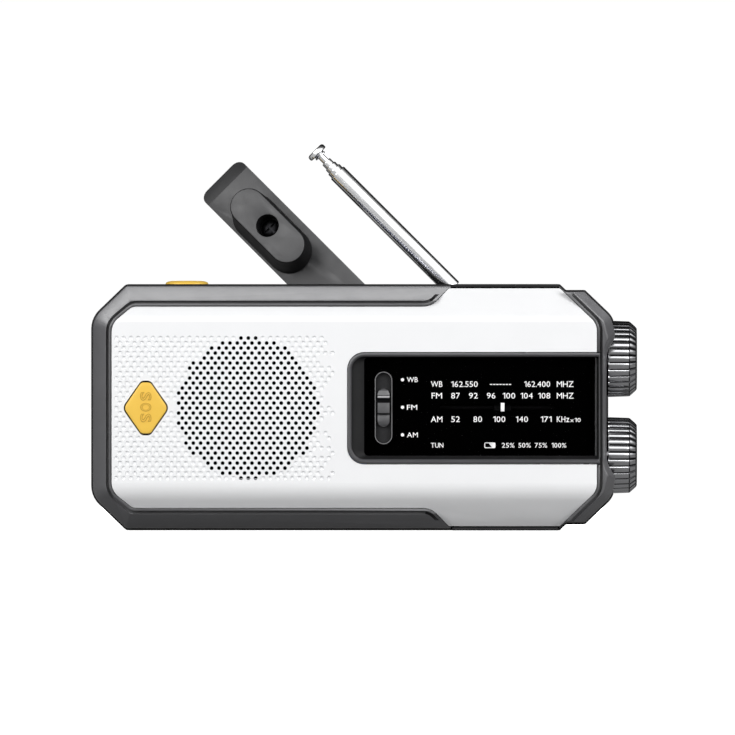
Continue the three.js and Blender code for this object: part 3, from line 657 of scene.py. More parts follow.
def perforate(ob, y_front, y_back, through, blind):
    """Re-fills the flat front and back faces round holes and dimples, sharing every vertex."""
    bm = bmesh.new()
    bm.from_mesh(ob.data)
    nh, nd = 14, 10

    def refill(y, rings, side):
        ys = y * MM
        flat = [f for f in bm.faces if abs(f.normal.y) > 0.999 and all(abs(v.co.y - ys) < 2e-6 for v in f.verts)]
        # only faces with some area
        flat = [f for f in flat if f.calc_area() > 0]
        fs = set(flat)
        border = [e for e in {e for f in flat for e in f.edges} if sum(1 for g in e.link_faces if g in fs) == 1]
        bverts = list({v for e in border for v in e.verts})
        vi = {v: i for i, v in enumerate(bverts)}
        pts = [Vector((v.co.x, v.co.z)) for v in bverts]
        edges = [(vi[e.verts[0]], vi[e.verts[1]]) for e in border]
        new = []
        for ring in rings:
            base = len(pts)
            k = len(ring)
            pts += [Vector((v.co.x, v.co.z)) for v in ring]
            new += ring
            edges += [(base + i, base + (i + 1) % k) for i in range(k)]
        res = delaunay_2d_cdt(pts, edges, [], 0, 1e-9)
        ov, oe, of, orig = res[0], res[1], res[2], res[3]
        allv = bverts + new
        lookup = []
        for i, o in enumerate(orig):
            lookup.append(allv[o[0]] if o else bm.verts.new((ov[i].x, ys, ov[i].y)))
        segs = [((pts[a].x, pts[a].y), (pts[b].x, pts[b].y)) for a, b in edges[:len(border)]]
        owner = {}
        for k, ring in enumerate(rings):
            for v in ring:
                owner[v] = k

        def inside(x, z):
            c = False
            for (xa, za), (xb, zb) in segs:
                if (za > z) != (zb > z) and x < (xb - xa) * (z - za) / (zb - za) + xa:
                    c = not c
            return c
        bmesh.ops.delete(bm, geom=flat, context="FACES_KEEP_BOUNDARY")
        made = 0
        for tri in of:
            cx = sum(ov[i].x for i in tri) / len(tri)
            cz = sum(ov[i].y for i in tri) / len(tri)
            vs = [lookup[i] for i in tri]
            own = {owner.get(v, -1) for v in vs}
            if (len(own) == 1 and -1 not in own) or not inside(cx, cz):
                continue
            try:
                f = bm.faces.new(vs)
                f.normal_update()
                if f.normal.y * side < 0:
                    f.normal_flip()
                made += 1
            except ValueError:
                pass
        return made

    def ring(x, z, r, y, n, ph=0.0):
        return [bm.verts.new((px * MM, y * MM, pz * MM)) for px, pz in circle(x, z, r, n, ph)]

    def bridge(a, b, flip=False):
        n = len(a)
        for i in range(n):
            j = (i + 1) % n
            q = (a[i], a[j], b[j], b[i])
            bm.faces.new(q if not flip else q[::-1])
    front, back = [], []
    for x, z in through:
        r0 = ring(x, z, 0.66, y_front, nh)
        r1 = ring(x, z, 0.60, y_front + 0.10, nh)
        r2 = ring(x, z, 0.60, y_back, nh)
        bridge(r0, r1)
        bridge(r1, r2)
        front.append(r0)
        back.append(r2)
    for x, z in blind:
        prof = [(0.74, 0.0), (0.70, 0.16), (0.50, 0.56), (0.28, 0.60)]
        rs = [ring(x, z, r, y_front + d, nd) for r, d in prof]
        for a, b in zip(rs, rs[1:]):
            bridge(a, b)
        bm.faces.new(rs[-1])
        front.append(rs[0])
    n1 = refill(y_front, front, -1)
    n2 = refill(y_back, back, 1)
    bmesh.ops.recalc_face_normals(bm, faces=bm.faces)
    bm.to_mesh(ob.data)
    bm.free()
    shade(ob, 32)
    for p in ob.data.polygons:
        if abs(p.normal.y) > 0.9998:
            p.use_smooth = False


def sos_outline(grow, seg=6):
    w, h = 6.95 + grow * 1.25, 9.85 + grow * 1.35
    c = h - 1.85
    return [(x + SOS_X, z + SOS_Z) for x, z in fillet([(w, 0, 2.1 + grow), (1.45, c, 1.5 + grow), (-1.45, c, 1.5 + grow), (-w, 0, 2.1 + grow), (-1.45, -c, 1.5 + grow), (1.45, -c, 1.5 + grow)], seg)]


BZ = dict(x0=-1.89, x1=77.0, z0=20.97, z1=55.72)

cover = prism("front_shell", PANEL, FRONT_Y, SPLIT_Y - 0.3, M["white"])
cut(cover, slope_cut("c1", 66.6, 28, True), slope_cut("c2", 11.9, 38, False))
cav = prism("cav", ring_of(P_ALL, 2.2), FRONT_Y + 2.5, SPLIT_Y + 2)
cut(cav, slope_cut("c3", 65.6, 28, True, 2.5), slope_cut("c4", 13.2, 38, False, 2.5))
cut(cover, cav)
cut(cover, prism("c5", rrect(BZ["x0"] - 0.22, 95, BZ["z0"] - 0.22, BZ["z1"] + 0.22, [0, 0, 5.4, 5.4], 10), FRONT_Y - 3, -20.4))
cut(cover, prism("c6", sos_outline(0.42), FRONT_Y - 3, FRONT_Y + 5))
bevel(cover, 0.28, 2, 28)
th, bl = dots()
perforate(cover, FRONT_Y, FRONT_Y + 2.5, th, bl)
done(cover, "case", "front_cover", slot="panel_white", mat=M["white"])

cloth = stack("speaker_cloth", [at_y(circle(SPK_X, SPK_Z, 22.9, 64), -23.45), at_y(circle(SPK_X, SPK_Z, 22.9, 64), -23.3)], M["cloth"])
done(cloth, "case", slot="cone_paper")


# ------------------------------------------------------------------ guards and shell
def front_block(slope):
    rings = [at_y(ring_of(O_ALL, d), y) for d, y in [(0.72, SPLIT_Y - 0.3), (0.72, -19.0), (0.76, -19.4), (0.88, -19.75), (1.06, -20.0)]]
    rings.append(at_y(ring_of(O_ALL, [e - 0.35 for e in slope]), -24.35))
    rings.append(at_y(ring_of(O_ALL, slope), -24.55))
    return rings


def guard(name, x0, x1, slope):
    g = stack(name, front_block(slope), M["grey"])
    keep = box("k", x0, x1, -60, 20, -10, 90)
    boolean(g, keep, "INTERSECT")
    ring = prism("r", ring_of(P_ALL, -1.85), -60, -22.4)
    inner = prism("ri", ring_of(P_ALL, -0.92), -61, -20)
    cut(ring, inner)
    cut(g, ring)
    cut(g, prism("p", ring_of(P_ALL, -0.18), -61.5, 20))
    return g


# faces in the groove round the panel, which are painted dark as painted shade
def in_groove_shade(x, y, z, n):
    return y > -24.3 and y < -22.3 and band(x, z)


def seg_dist(x, z, a, b):
    dx, dz = b[0] - a[0], b[1] - a[1]
    t = max(0.0, min(1.0, ((x - a[0]) * dx + (z - a[1]) * dz) / (dx * dx + dz * dz)))
    return math.hypot(x - a[0] - t * dx, z - a[1] - t * dz)


GROOVE = ring_of(P_ALL, -1.34)


def band(x, z):
    return min(seg_dist(x, z, GROOVE[i - 1], GROOVE[i]) for i in range(len(GROOVE))) < 0.45


left = guard("guard_left", -100, 30.3, SLOPE_L)
bevel(left, 0.14, 2, 26)
# painted shade: the groove faces get the dark case plastic
paint(left, in_groove_shade, M["dark"])
done(left, "case", "bumper_left", slot="case_grey", mat=M["grey"])

right = guard("guard_right", 64.4, 100, SLOPE_R)
cut(right, box("k2", 60, BZ["x1"] + 0.15, -60, -20.2, BZ["z0"] - 0.35, BZ["z1"] + 0.35))
for z in (53.8, 23.5):
    cut(right, cyl_x("k3", 0, z, 79.35, 95, 12.7, 64))
bevel(right, 0.14, 2, 26)
# painted shade: the groove faces get the dark case plastic
paint(right, in_groove_shade, M["dark"])
done(right, "case", "bumper_right", slot="case_grey", mat=M["grey"])


def rear():
    rings = []
    for d, y in [(0.3, SPLIT_Y), (0.0, SPLIT_Y + 0.3), (0.0, 20.4), (0.35, 22.0), (1.2, 23.5), (2.5, 24.7), (4.1, 25.5), (5.3, 25.9), (6.0, 26.0)]:
        rings.append(at_y(ring_of(O_ALL, d), y))
    s = stack("rear_case", rings, M["dark"])
    cut(s, prism("c", ring_of(O_ALL, 3.2), SPLIT_Y - 2, 23.2))
    px = HUB_X - GRIP_U
    add(s, prism("a1", stadium(px, HUB_Z, 38, 21), 12.4, 24.5),
        cyl_y("a2", HUB_X, HUB_Z, 20.2, 24.5, 15.5),
        box("a3", -40, 49, 16, 24.0, 64.7, 75))
    for x, z in SCREWS:
        add(s, cyl_y("a4", x, z, 9, 24.5, 3.6, 24))
    add(s, box("a5", 30.9, 63.9, -20.0, SPLIT_Y + 1, 76.32, CASE_H - 0.02), box("a6", 30.9, 63.9, -20.0, SPLIT_Y + 1, 0.02, 0.94))
    cut(s, stack("c1", [at_y(stadium(px, HUB_Z, 34.0, 17.0), 14.6), at_y(stadium(px, HUB_Z, 34.0, 17.0), 25.2), at_y(stadium(px, HUB_Z, 36.2, 19.2), 27.4)]),
        stack("c2", [at_y(circle(HUB_X, HUB_Z, 13.1, 72), 23.9), at_y(circle(HUB_X, HUB_Z, 13.1, 72), 25.3), at_y(circle(HUB_X, HUB_Z, 15.0, 72), 27.2)]),
        cyl_y("c3", HUB_X, HUB_Z, 18, 25, 4.4, 32),
        box("c4", -38, 47.6, 18, 27, 66.7, 90))
    cut(s, cyl_y("c5", ANT_X, ANT_Z, 15, 19, 1.75, 24))
    for x, z in SCREWS:
        cut(s, cyl_y("c6", x, z, 8, 25, 1.65, 20), stack("c7", [at_y(circle(x, z, 3.1, 32), 23.8), at_y(circle(x, z, 3.1, 32), 25.5), at_y(circle(x, z, 4.0, 32), 26.4)]))
    # switch hole, solar seat, torch hole
    cut(s, prism_z("c8", stadium(-52.5, 5.0, 14.1, 10.7), 70, 80),
        box("c9", -36, 30, -1.5, 14.5, CASE_H - 1.7, 80),
        stack("c10", [at_x(circle(8, MID, 11.6, 64), -83.6), at_x(circle(8, MID, 10.2, 64), -82.0), at_x(circle(8, MID, 10.2, 64), -70)]))
    for z in (53.8, 23.5):
        cut(s, cyl_x("c11", 0, z, 79.35, 95, 12.7, 64), cyl_x("c12", 0, z, 70, 85, 2.9, 24))
    cut(s, prism("c13", rrect(42.4, 65.6, 13.2, 24.8, 0.8, 3), 22, 27), prism("c14", rrect(41.4, 66.6, 11.7, 25.8, 1.2, 3), BACK_Y - 1.4, 27))
    # shallow grip lines on the back
    for k in range(6):
        cut(s, prism("c15", stadium(-44.0, 12.0 + 3.6 * k, 40.0, 1.3, 4), 25.55, 27))
    for k in range(5):
        cut(s, prism("c16", stadium(18.0, 12.0 + 3.6 * k, 30.0, 1.3, 4), 25.55, 27))
    return s


shell = rear()
bevel(shell, 0.14, 2, 34)
done(shell, "case", "rear_shell", slot="case_dark", mat=M["dark"])


# ------------------------------------------------------------------ dial
def rect_ring(x0, x1, z0, z1, rl, rr, y, seg=10):
    return at_y(rrect(x0, x1, z0, z1, [rr, rr, rl, rl], seg), y)


lip = stack("dial_frame", [
    rect_ring(-1.89, 77.0, 20.97, 55.72, 5.2, 0.3, -22.5),
    rect_ring(-1.89, 77.0, 20.97, 55.72, 5.2, 0.3, -26.35),
    rect_ring(-1.78, 76.95, 21.08, 55.61, 5.1, 0.3, -26.58),
    rect_ring(-1.50, 76.9, 21.36, 55.35, 4.85, 0.3, -26.7),
    rect_ring(-1.05, 76.8, 21.9, 54.95, 4.4, 0.3, -26.66),
    rect_ring(-0.70, 76.6, 22.35, 54.55, 4.05, 0.3, -26.3),
    rect_ring(-0.62, 76.5, 22.45, 54.45, 3.95, 0.3, -25.9),
], M["bezel"], cap=True)
cut(lip, stack("well", [
    rect_ring(-0.62, 76.5, 22.45, 54.45, 3.95, 0.3, -25.6),
    rect_ring(2.9, 76.3, 23.3, 54.25, 1.6, 0.3, -24.5),
    rect_ring(3.2, 76.2, 23.45, 54.2, 1.3, 0.3, -24.3),
    rect_ring(3.2, 76.2, 23.45, 54.2, 1.3, 0.3, -20)]),
    stack("well2", [rect_ring(-0.62, 76.5, 22.45, 54.45, 3.95, 0.3, -27), rect_ring(-0.62, 76.5, 22.45, 54.45, 3.95, 0.3, -25.59)]))
# painted shade: the well's inner wall faces get near-black
lip.data.materials.append(M["bezel_wall_shade"])
for f in lip.data.polygons:
    c = f.center
    if c.y > -26.33 * MM and -0.7 < c.x / MM < 76.6 and 22.3 < c.z / MM < 54.6:
        f.material_index = 1
shade(lip, 32)
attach(lip, "case")
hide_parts("dial_bezel")

lens = prism("dial_window", rrect(3.4, 76.0, 23.65, 54.0, [0.3, 0.3, 1.1, 1.1], 6), -24.2, -23.4, M["lens"])
cut(lens, prism("ls", stadium(BAND_X, 38.43, 5.5, 22.75), -30, -20))
bevel(lens, 0.08, 1, 40)
done(lens, "case", "dial_lens", slot="lens_clear", mat=M["lens"])

plate = box("scale_plate", 1.0, 75.5, -21.9, -21.1, 22.3, 55.0, M["scale"])
cut(plate, box("s1", 26.94, 62.72, -25, -20, 37.60, 39.69), box("s2", BAND_X - 1.1, BAND_X + 1.1, -25, -20, BAND_Z - 5.6, BAND_Z + 5.6))
bevel(plate, 0.06, 1, 40)
done(plate, "case", "dial_scale", slot="scale_black")
chan = box("scale_channel", 24.0, 66.0, -21.0, -15.6, 35.4, 41.9, M["groove"])
cut(chan, box("ch", 24.6, 65.4, -22, -16.0, 36.4, 40.9))
done(chan, "case", slot="scale_black")

TY = -21.9
marks = []


def thick(s, a, b, c, d):
    marks.append(text("t", s, a, b - 0.012, c, d, TY, M["mark"], 0.05, 0.0))
    marks.append(text("t", s, a + 0.012, b, c, d, TY, M["mark"], 0.06, 0.0))


rows = [
    (45.89, 1.8, [("WB", 24.1, 27.7), ("162.550", 30.44, 38.77), ("162.400", 53.33, 61.44), ("MHZ", 63.53, 68.79)]),
    (42.26, 1.8, [("FM", 24.3, 27.6), ("87", 30.44, 33.2), ("92", 36.0, 38.8), ("96", 41.6, 44.3), ("100", 46.6, 50.5), ("104", 52.2, 56.0), ("108", 57.7, 61.5), ("MHZ", 63.53, 68.79)]),
    (34.90, 1.8, [("AM", 24.1, 27.7), ("52", 30.44, 33.2), ("80", 37.4, 40.1), ("100", 43.6, 47.4), ("140", 50.7, 54.5), ("171", 58.5, 61.9)]),
    (26.73, 1.5, [("TUN", 24.1, 28.0), ("25%", 46.3, 50.3), ("50%", 51.5, 55.4), ("75%", 56.6, 60.5), ("100%", 61.9, 66.5)]),
]
for z, h, row in rows:
    for s, a, b in row:
        thick(s, a, b, z - h / 2, z + h / 2)
thick("KH", 63.53, 66.2, 34.0, 35.8)
thick("z", 66.45, 67.45, 34.0, 35.3)
thick("x10", 67.7, 71.0, 34.0, 35.3)
for i in range(7):
    x = 42.59 + i * 0.985
    marks.append(box("d", x, x + 0.72, TY - 0.05, TY, 45.65, 45.92, M["mark"]))
for z, s, x1 in [(47.27, "WB", 20.0), (38.63, "FM", 19.8), (29.99, "AM", 20.0)]:
    marks.append(stack("dot", [at_y(circle(15.2, z, 0.52, 24), TY - 0.05), at_y(circle(15.2, z, 0.52, 24), TY)], M["mark"]))
    thick(s, 16.6, x1, z - 0.78, z + 0.78)
# battery sign
b0, b1, c0, c1 = 40.85, 44.3, 25.85, 27.6
frame_pts = rrect(b0, b1, c0, c1, 0.42, 4)
icon = prism("b", frame_pts, TY - 0.05, TY, M["mark"])
hole = [(b0 + 0.24, c0 + 0.24), (b0 + 2.35, c0 + 0.24), (b0 + 1.35, c1 - 0.24), (b0 + 0.24, c1 - 0.24)]
cut(icon, prism("bh", hole, TY - 1, TY + 1))
marks.append(icon)
dial_text = join_objs("dial_print", marks)
done(dial_text, "case", slot="mark_white")

# raised rim round the slider slot, and the slot's floor
rim = stack("slider_rim", [at_y(stadium(BAND_X, 38.43, 5.45, 22.7, 16), -24.25), at_y(stadium(BAND_X, 38.43, 5.40, 22.65, 16), -24.42),
                           at_y(stadium(BAND_X, 38.43, 4.98, 22.23, 16), -24.42), at_y(stadium(BAND_X, 38.43, 4.92, 22.17, 16), -22.0),
                           at_y(stadium(BAND_X, 38.43, 5.45, 22.7, 16), -22.0)], M["rim"], cap=False)
n = len(stadium(BAND_X, 38.43, 5.45, 22.7, 16))
bm = bmesh.new()
bm.from_mesh(rim.data)
bm.verts.ensure_lookup_table()
for i in range(n):
    j = (i + 1) % n
    bm.faces.new((bm.verts[4 * n + i], bm.verts[4 * n + j], bm.verts[j], bm.verts[i]))
bmesh.ops.recalc_face_normals(bm, faces=bm.faces)
bm.to_mesh(rim.data)
bm.free()
shade(rim, 32)
done(rim, "case", slot="bezel_grey")
floor_pts = stadium(BAND_X, 38.43, 4.86, 22.1, 16)
sfloor = prism("slider_floor", floor_pts, -22.6, -21.95, M["slot"])
cut(sfloor, box("sf", BAND_X - 1.0, BAND_X + 1.0, -30, -10, BAND_Z - 5.5, BAND_Z + 5.5))
bevel(sfloor, 0.08, 1, 40)
done(sfloor, "case", slot="part_black")


# slider: two rounded ramps, a ridge and a raised block
def slider():
    w = 3.7
    prof = []          # (z, y) side profile of the top half, then the lower half
    base = prism("band_knob", stadium(BAND_X, BAND_Z, w, 11.9, 16), -23.6, -22.75, M["slider"])
    # crowned ends
    zc = BAND_Z
    hump = [(zc + 5.9, -23.5), (zc + 5.4, -24.0), (zc + 3.95, -24.3), (zc + 3.65, -24.95), (zc + 3.15, -24.95), (zc + 2.9, -23.8),
            (zc + 1.66, -23.7), (zc + 1.62, -25.2), (zc + 1.4, -25.38), (zc - 1.55, -25.38), (zc - 1.75, -25.2), (zc - 1.8, -23.5),
            (zc - 2.4, -24.12), (zc - 4.2, -24.16), (zc - 5.4, -23.9), (zc - 5.9, -23.5), (zc - 5.9, -23.2), (zc + 5.9, -23.2)]
    body = stack("hump", [[(BAND_X - w / 2, y, z) for z, y in hump], [(BAND_X + w / 2, y, z) for z, y in hump]], M["slider"])
    clip = prism("clip", stadium(BAND_X, BAND_Z, w, 11.9, 16), -30, -20)
    boolean(body, clip, "INTERSECT")
    add(base, body)
    add(base, box("stem", BAND_X - 0.8, BAND_X + 0.8, -23.0, -17.4, BAND_Z - 0.8, BAND_Z + 0.8))
    bevel(base, 0.08, 2, 30)
    # painted highlight: the ridge's crest faces get a light grey
    paint(base, lambda x, y, z, n: y < -24.88 and zc + 2.9 < z < zc + 3.9, M["ridge"])
    # painted shade: the dip between ridge and block and the step below the block get the dark groove plastic
    paint(base, lambda x, y, z, n: (zc + 1.6 < z < zc + 2.75 and y > -24.6) or (zc - 2.1 < z < zc - 1.7), M["groove"])
    return base


band_obj = slider()
done(band_obj, "band", "band_slider", slot="part_black", mat=M["slider"])

# pointer bar and its carriage
bar = box("pointer_bar", POINTER_X - 0.58, POINTER_X + 0.58, -23.05, -22.25, 37.35, 40.01, M["mark"])
bevel(bar, 0.08, 2, 40)
stem = box("pointer_carriage", POINTER_X - 2.6, POINTER_X + 2.6, -20.2, -16.2, 36.9, 40.4, M["groove"])
add(stem, box("ps", POINTER_X - 0.4, POINTER_X + 0.4, -22.2, -19.4, 38.0, 39.3))
cut(stem, cyl_x("ph", -17.9, 38.65, 30, 60, 1.0, 24))
bevel(stem, 0.12, 2, 40)
done(bar, "pointer", "dial_pointer", slot="mark_white")
done(stem, "pointer", slot="part_black")


# ------------------------------------------------------------------ yellow buttons
def domed(name, outline, y0, y_top, crown, mat, steps=6, inset=3.0):
    """A capped solid facing -Y with a soft crowned face."""
    rings = [at_y(outline, y0), at_y(outline, y_top + 0.35)]
    cx = sum(p[0] for p in outline) / len(outline)
    cz = sum(p[1] for p in outline) / len(outline)
    for k in range(1, 4):
        a = k / 3 * 90 * D2R
        d = 0.35 * (1 - math.cos(a))
        rings.append(at_y(offset(outline, d), y_top + 0.35 - 0.35 * math.sin(a)))
    last = offset(outline, 0.35)
    for k in range(1, steps + 1):
        s = 1 - k / (steps + 0.6)
        y = y_top - crown * (1 - s * s)
        rings.append([(cx + (p[0] - cx) * s, y, cz + (p[1] - cz) * s) for p in last])
    return stack(name, rings, mat, smooth=40)


sos_face = sos_outline(0.0, 6)
sos = domed("sos_cap", sos_face, -21.3, -26.5, 0.14, M["yellow"])
fl = prism("sos_flange", sos_outline(0.8, 3), -23.1, -21.2, M["dark"])
letters = []
for ch, zc in (("S", 42.04), ("O", 38.68), ("S", 35.30)):
    for mat, k, dep in ((M["letter"], 0.03, 0.28), (M["yellow"], -0.02, 0.34)):
        e = 0.14 - k * 5.0
        t = text("L", ch, -1.36 + e, 1.36 - e, -1.75 + e, 1.75 - e, 0.0, mat, dep, k)
        t.data.transform(Matrix.Rotation(90 * D2R, 4, "Y"))
        t.data.transform(Matrix.Translation((SOS_X * MM, -26.5 * MM, zc * MM)))
        letters.append(t)
sos_all = join_objs("sos_push", [sos, fl] + letters)
done(sos_all, "sos", "sos_button", slot="button_yellow")

tb = stadium(-52.5, 5.0, 13.4, 10.0, 12)
rings = [at_z(offset(tb, -1.1), 72.26), at_z(offset(tb, -1.1), 73.56), at_z(tb, 73.56), at_z(tb, CASE_H + 0.18)]
for k in range(1, 7):
    a = k / 6 * 84 * D2R
    rings.append(at_z(offset(tb, 2.3 * (1 - math.cos(a))), CASE_H + 0.18 + 0.86 * math.sin(a)))
last = offset(tb, 2.3 * (1 - math.cos(84 * D2R)))
for k in range(1, 4):
    s = 1 - k / 3.6
    rings.append([(-52.5 + (p[0] + 52.5) * s, 5 + (p[1] - 5) * s, CASE_H + 1.035 + 0.06 * (1 - s * s)) for p in last])
topb = stack("torch_push", rings, M["yellow"], smooth=40)
done(topb, "top_btn", "top_button", slot="button_yellow")


# ------------------------------------------------------------------ knobs
def knob(name, z):
    n, per = 32, 10
    L = 8.69
    prof = [(-0.5, 11.5, 0.0), (-0.3, 11.95, 0.4), (0.0, 12.0, 0.95), (6.1, 11.78, 1.0), (6.5, 11.66, 1.0), (7.6, 10.7, 1.15), (8.2, 10.15, 1.1), (8.55, 9.75, 0.55), (L, 9.45, 0.0)]
    verts, faces = [], []
    m = n * per
    for h, r, amp in prof:
        for i in range(m):
            t = 2 * math.pi * i / m
            w = abs(math.cos(n * t / 2))
            dip = 0.60 * amp * (1 - w ** 0.42)
            rr = r - dip
            verts.append((80.1 + h, rr * math.cos(t), rr * math.sin(t)))
    k = len(prof)
    for a in range(k - 1):
        for i in range(m):
            j = (i + 1) % m
            faces.append((a * m + i, a * m + j, (a + 1) * m + j, (a + 1) * m + i))
    # the end face: a shallow dish with a fine ring
    rr = [(L, 9.2), (L - 0.18, 8.9), (L - 0.18, 8.5), (L - 0.05, 8.2), (L - 0.3, 4.0), (L - 0.36, 0.02)]
    base = (k - 1) * m
    for h, r in rr:
        nb = len(verts)
        for i in range(m):
            t = 2 * math.pi * i / m
            verts.append((80.1 + h, r * math.cos(t), r * math.sin(t)))
        for i in range(m):
            j = (i + 1) % m
            faces.append((base + i, base + j, nb + j, nb + i))
        base = nb
    faces.append(tuple(range(base, base + m)))
    # underside with a shaft hole
    hb = len(verts)
    for i in range(m):
        t = 2 * math.pi * i / m
        verts.append((80.1, 2.6 * math.cos(t), 2.6 * math.sin(t)))
    for i in range(m):
        j = (i + 1) % m
        faces.append((hb + i, hb + j, j, i))
    hc = len(verts)
    for i in range(m):
        t = 2 * math.pi * i / m
        verts.append((86.1, 2.6 * math.cos(t), 2.6 * math.sin(t)))
    for i in range(m):
        j = (i + 1) % m
        faces.append((hc + i, hc + j, hb + j, hb + i))
    faces.append(tuple(range(hc, hc + m)))
    ob = obj(name, verts, faces, M["chrome_dark"], 38)

    def phase(y, z):
        return abs(math.cos(n * math.atan2(z, y) / 2))
    # painted shade in the flute grooves; on the chamfer, painted dark reflection that leaves bright beads at the ridge
    # ends
    paint(ob, lambda x, y, z, q: 80.0 < x < 86.3 and math.hypot(y, z) > 10.5 and phase(y, z) < 0.24, M["knob_groove_shade"])
    paint(ob, lambda x, y, z, q: 86.3 <= x < 88.75 and math.hypot(y, z) > 9.3 and (phase(y, z) < 0.62 or x > 88.3 or x < 86.65), M["knob_groove_shade"])
    ob.data.transform(Matrix.Translation((0, 0, z * MM)))
    return ob


done(knob("tuning_dial_knob", 53.8), "tuning", "tuning_knob", slot="chrome_dark")
done(knob("volume_dial_knob", 23.5), "volume", "volume_knob", slot="chrome_dark")


# ------------------------------------------------------------------ crank
HUB_M = T(HUB_X, PIN_Y, HUB_Z) @ R("Y", -135)
ARM_M = HUB_M @ R("Z", FOLD)


def crank():
    w, tip, th = 8.7, 86.1, 3.0
    out = rrect(9.2, tip, -w, w, [3.0, 3.0, 1.6, 1.6], 6)
    a = stack("arm_bar", [[(x, -th, z) for x, z in out], [(x, th, z) for x, z in out]], M["arm"])
    # finger chamfer at the tip on the inner face
    ww = stack("w", [[(tip - 4.6, -th - 0.01, z), (tip + 8, -th + 12.6 * math.tan(33 * D2R), z), (tip + 8, -20, z), (tip - 4.6, -20, z)] for z in (-20, 20)])
    cut(a, ww)
    cut(a, stack("w2", [[(tip - 3.4, th + 0.01, z), (tip + 6, th + 0.01, z), (tip + 6, th - 4.6, z)] for z in (-20, 20)]))
    # crowned outer face: long side slopes
    for s in (-1, 1):
        cut(a, stack("e", [[(x, th - 1.0, s * w), (x, th + 3, s * (w - 4.0)), (x, th + 3, s * (w + 6)), (x, th - 1.0, s * (w + 6))] for x in (0, 120)]))
    lug = [(2.94 * math.cos(t), 2.94 * math.sin(t)) for t in [math.pi / 2 + math.pi * i / 16 for i in range(17)]] + [(12, -2.94), (12, 2.94)]
    add(a, stack("nc", [[(x, y, z) for x, y in lug] for z in (-4.8, 4.8)]))
    cut(a, stack("ph", [[(1.7 * math.cos(t), 1.7 * math.sin(t), z) for t in [2 * math.pi * i / 24 for i in range(24)]] for z in (-6, 6)]))
    cut(a, cyl_y("gh", GRIP_U, 0, -8, 1.2, 1.7, 24))
    bevel(a, 0.4, 2, 26)
    # painted shade: the arm's side walls and bevels get near-black
    paint(a, lambda x, y, z, n: abs(n.y) < 0.97 and not (x > tip - 4.4 and abs(n.z) < 0.2 and n.y < -0.5), M["arm_side_shade"])
    # painted shade: the sloped lip at the tip gets a darker grey
    paint(a, lambda x, y, z, n: x > tip - 4.2 and -0.95 < n.y < -0.5 and abs(n.z) < 0.3, M["arm_lip_shade"])
    move(a, ARM_M)
    done(a, "crank_arm", "crank_arm", slot="grip_grey", mat=M["arm"])

    # grip: tapered, rounded at the face, with a screw well
    f, b = -th - 0.3 - 12.0, -th - 0.3
    seg = 14

    def ring(L, W, y, sh=0.0):
        return [(p[0] + GRIP_U, y, p[1] + sh) for p in stadium(0, 0, L, W, seg)]
    g = stack("grip_block", [ring(30.2, 14.4, b, 0.75), ring(30.2, 14.4, b - 0.7, 0.75), ring(30.0, 14.1, b - 1.0, 0.7), ring(29.5, 11.7, f + 0.6), ring(29.35, 11.45, f + 0.28), ring(29.0, 11.15, f + 0.06), ring(28.6, 10.8, f)], M["arm"], smooth=40)
    cut(g, cyl_y("g1", GRIP_U, 0, f - 2, f + 7.0, 3.6, 40), cyl_y("g2", GRIP_U, 0, f, 0, 2.0, 24))
    bevel(g, 0.22, 2, 45, 40)
    # painted shade: the grip's side walls and its screw well get near-black
    paint(g, lambda x, y, z, n: abs(n.y) < 0.72 or (y > f + 1 and math.hypot(x - GRIP_U, z) < 3.7), M["arm_side_shade"])
    move(g, ARM_M)
    done(g, "crank_grip", "crank_grip", slot="grip_grey", mat=M["arm"])

    s = lathe("grip_bolt", [(0, f + 6.75), (1.4, f + 6.75), (1.4, 1.0), (1.2, 1.15), (0, 1.15)], 24, M["steel"])
    move(s, R("Z", 90))
    # painted shade: the screw head in the well is near-black metal
    hd = lathe("hd", [(0, f + 4.4), (1.4, f + 4.5), (2.5, f + 4.9), (3.0, f + 5.6), (3.0, f + 6.7), (0, f + 6.7)], 32, M["bolt"])
    move(hd, R("Z", 90))
    cut(hd, box("x1", -2.0, 2.0, f + 3, f + 5.6, -0.36, 0.36), box("x2", -0.36, 0.36, f + 3, f + 5.6, -2.0, 2.0))
    s = join_objs("grip_bolt", [s, hd])
    shade(s, 35)
    move(s, ARM_M @ T(GRIP_U, 0, 0))
    done(s, "crank_arm", "grip_screw", slot="steel")

    # hub: disc, two ears and the stub
    py = -PIN_Y
    h = lathe("hub_disc", [(0, 9.2 + py), (4.0, 9.2 + py), (4.0, 24.3 + py), (12.3, 24.3 + py), (12.6, 24.6 + py), (12.6, 26.4 + py), (12.1, 27.0 + py), (11.2, 27.0 + py), (10.9, 26.8 + py), (0, 26.8 + py)], 64, M["dark"])
    move(h, R("Z", 90))
    for sgn in (-1, 1):
        z0, z1 = (5.2, 8.4) if sgn > 0 else (-8.4, -5.2)
        ear = []
        for i in range(25):
            t = math.pi * i / 24
            ear.append((4.2 * math.cos(t), 4.2 * math.sin(t)))
        ear += [(-4.2, 26.5 + py), (4.2, 26.5 + py)]
        add(h, stack("ear", [[(x, y, z) for x, y in ear] for z in (z0, z1)]))
    cut(h, stack("ph", [[(1.7 * math.cos(t), 1.7 * math.sin(t), z) for t in [2 * math.pi * i / 24 for i in range(24)]] for z in (-10, 10)]))
    bevel(h, 0.2, 2, 40)
    move(h, HUB_M)
    done(h, "crank_hub", "crank_hub", slot="case_dark", mat=M["dark"])
    p = lathe("fold_pin", [(0, -8.6), (1.15, -8.6), (1.4, -8.35), (1.4, 8.35), (1.15, 8.6), (0, 8.6)], 28, M["steel"])
    move(p, HUB_M @ R("Y", -90))
    done(p, "crank_hub", "crank_pin", slot="steel")


crank()


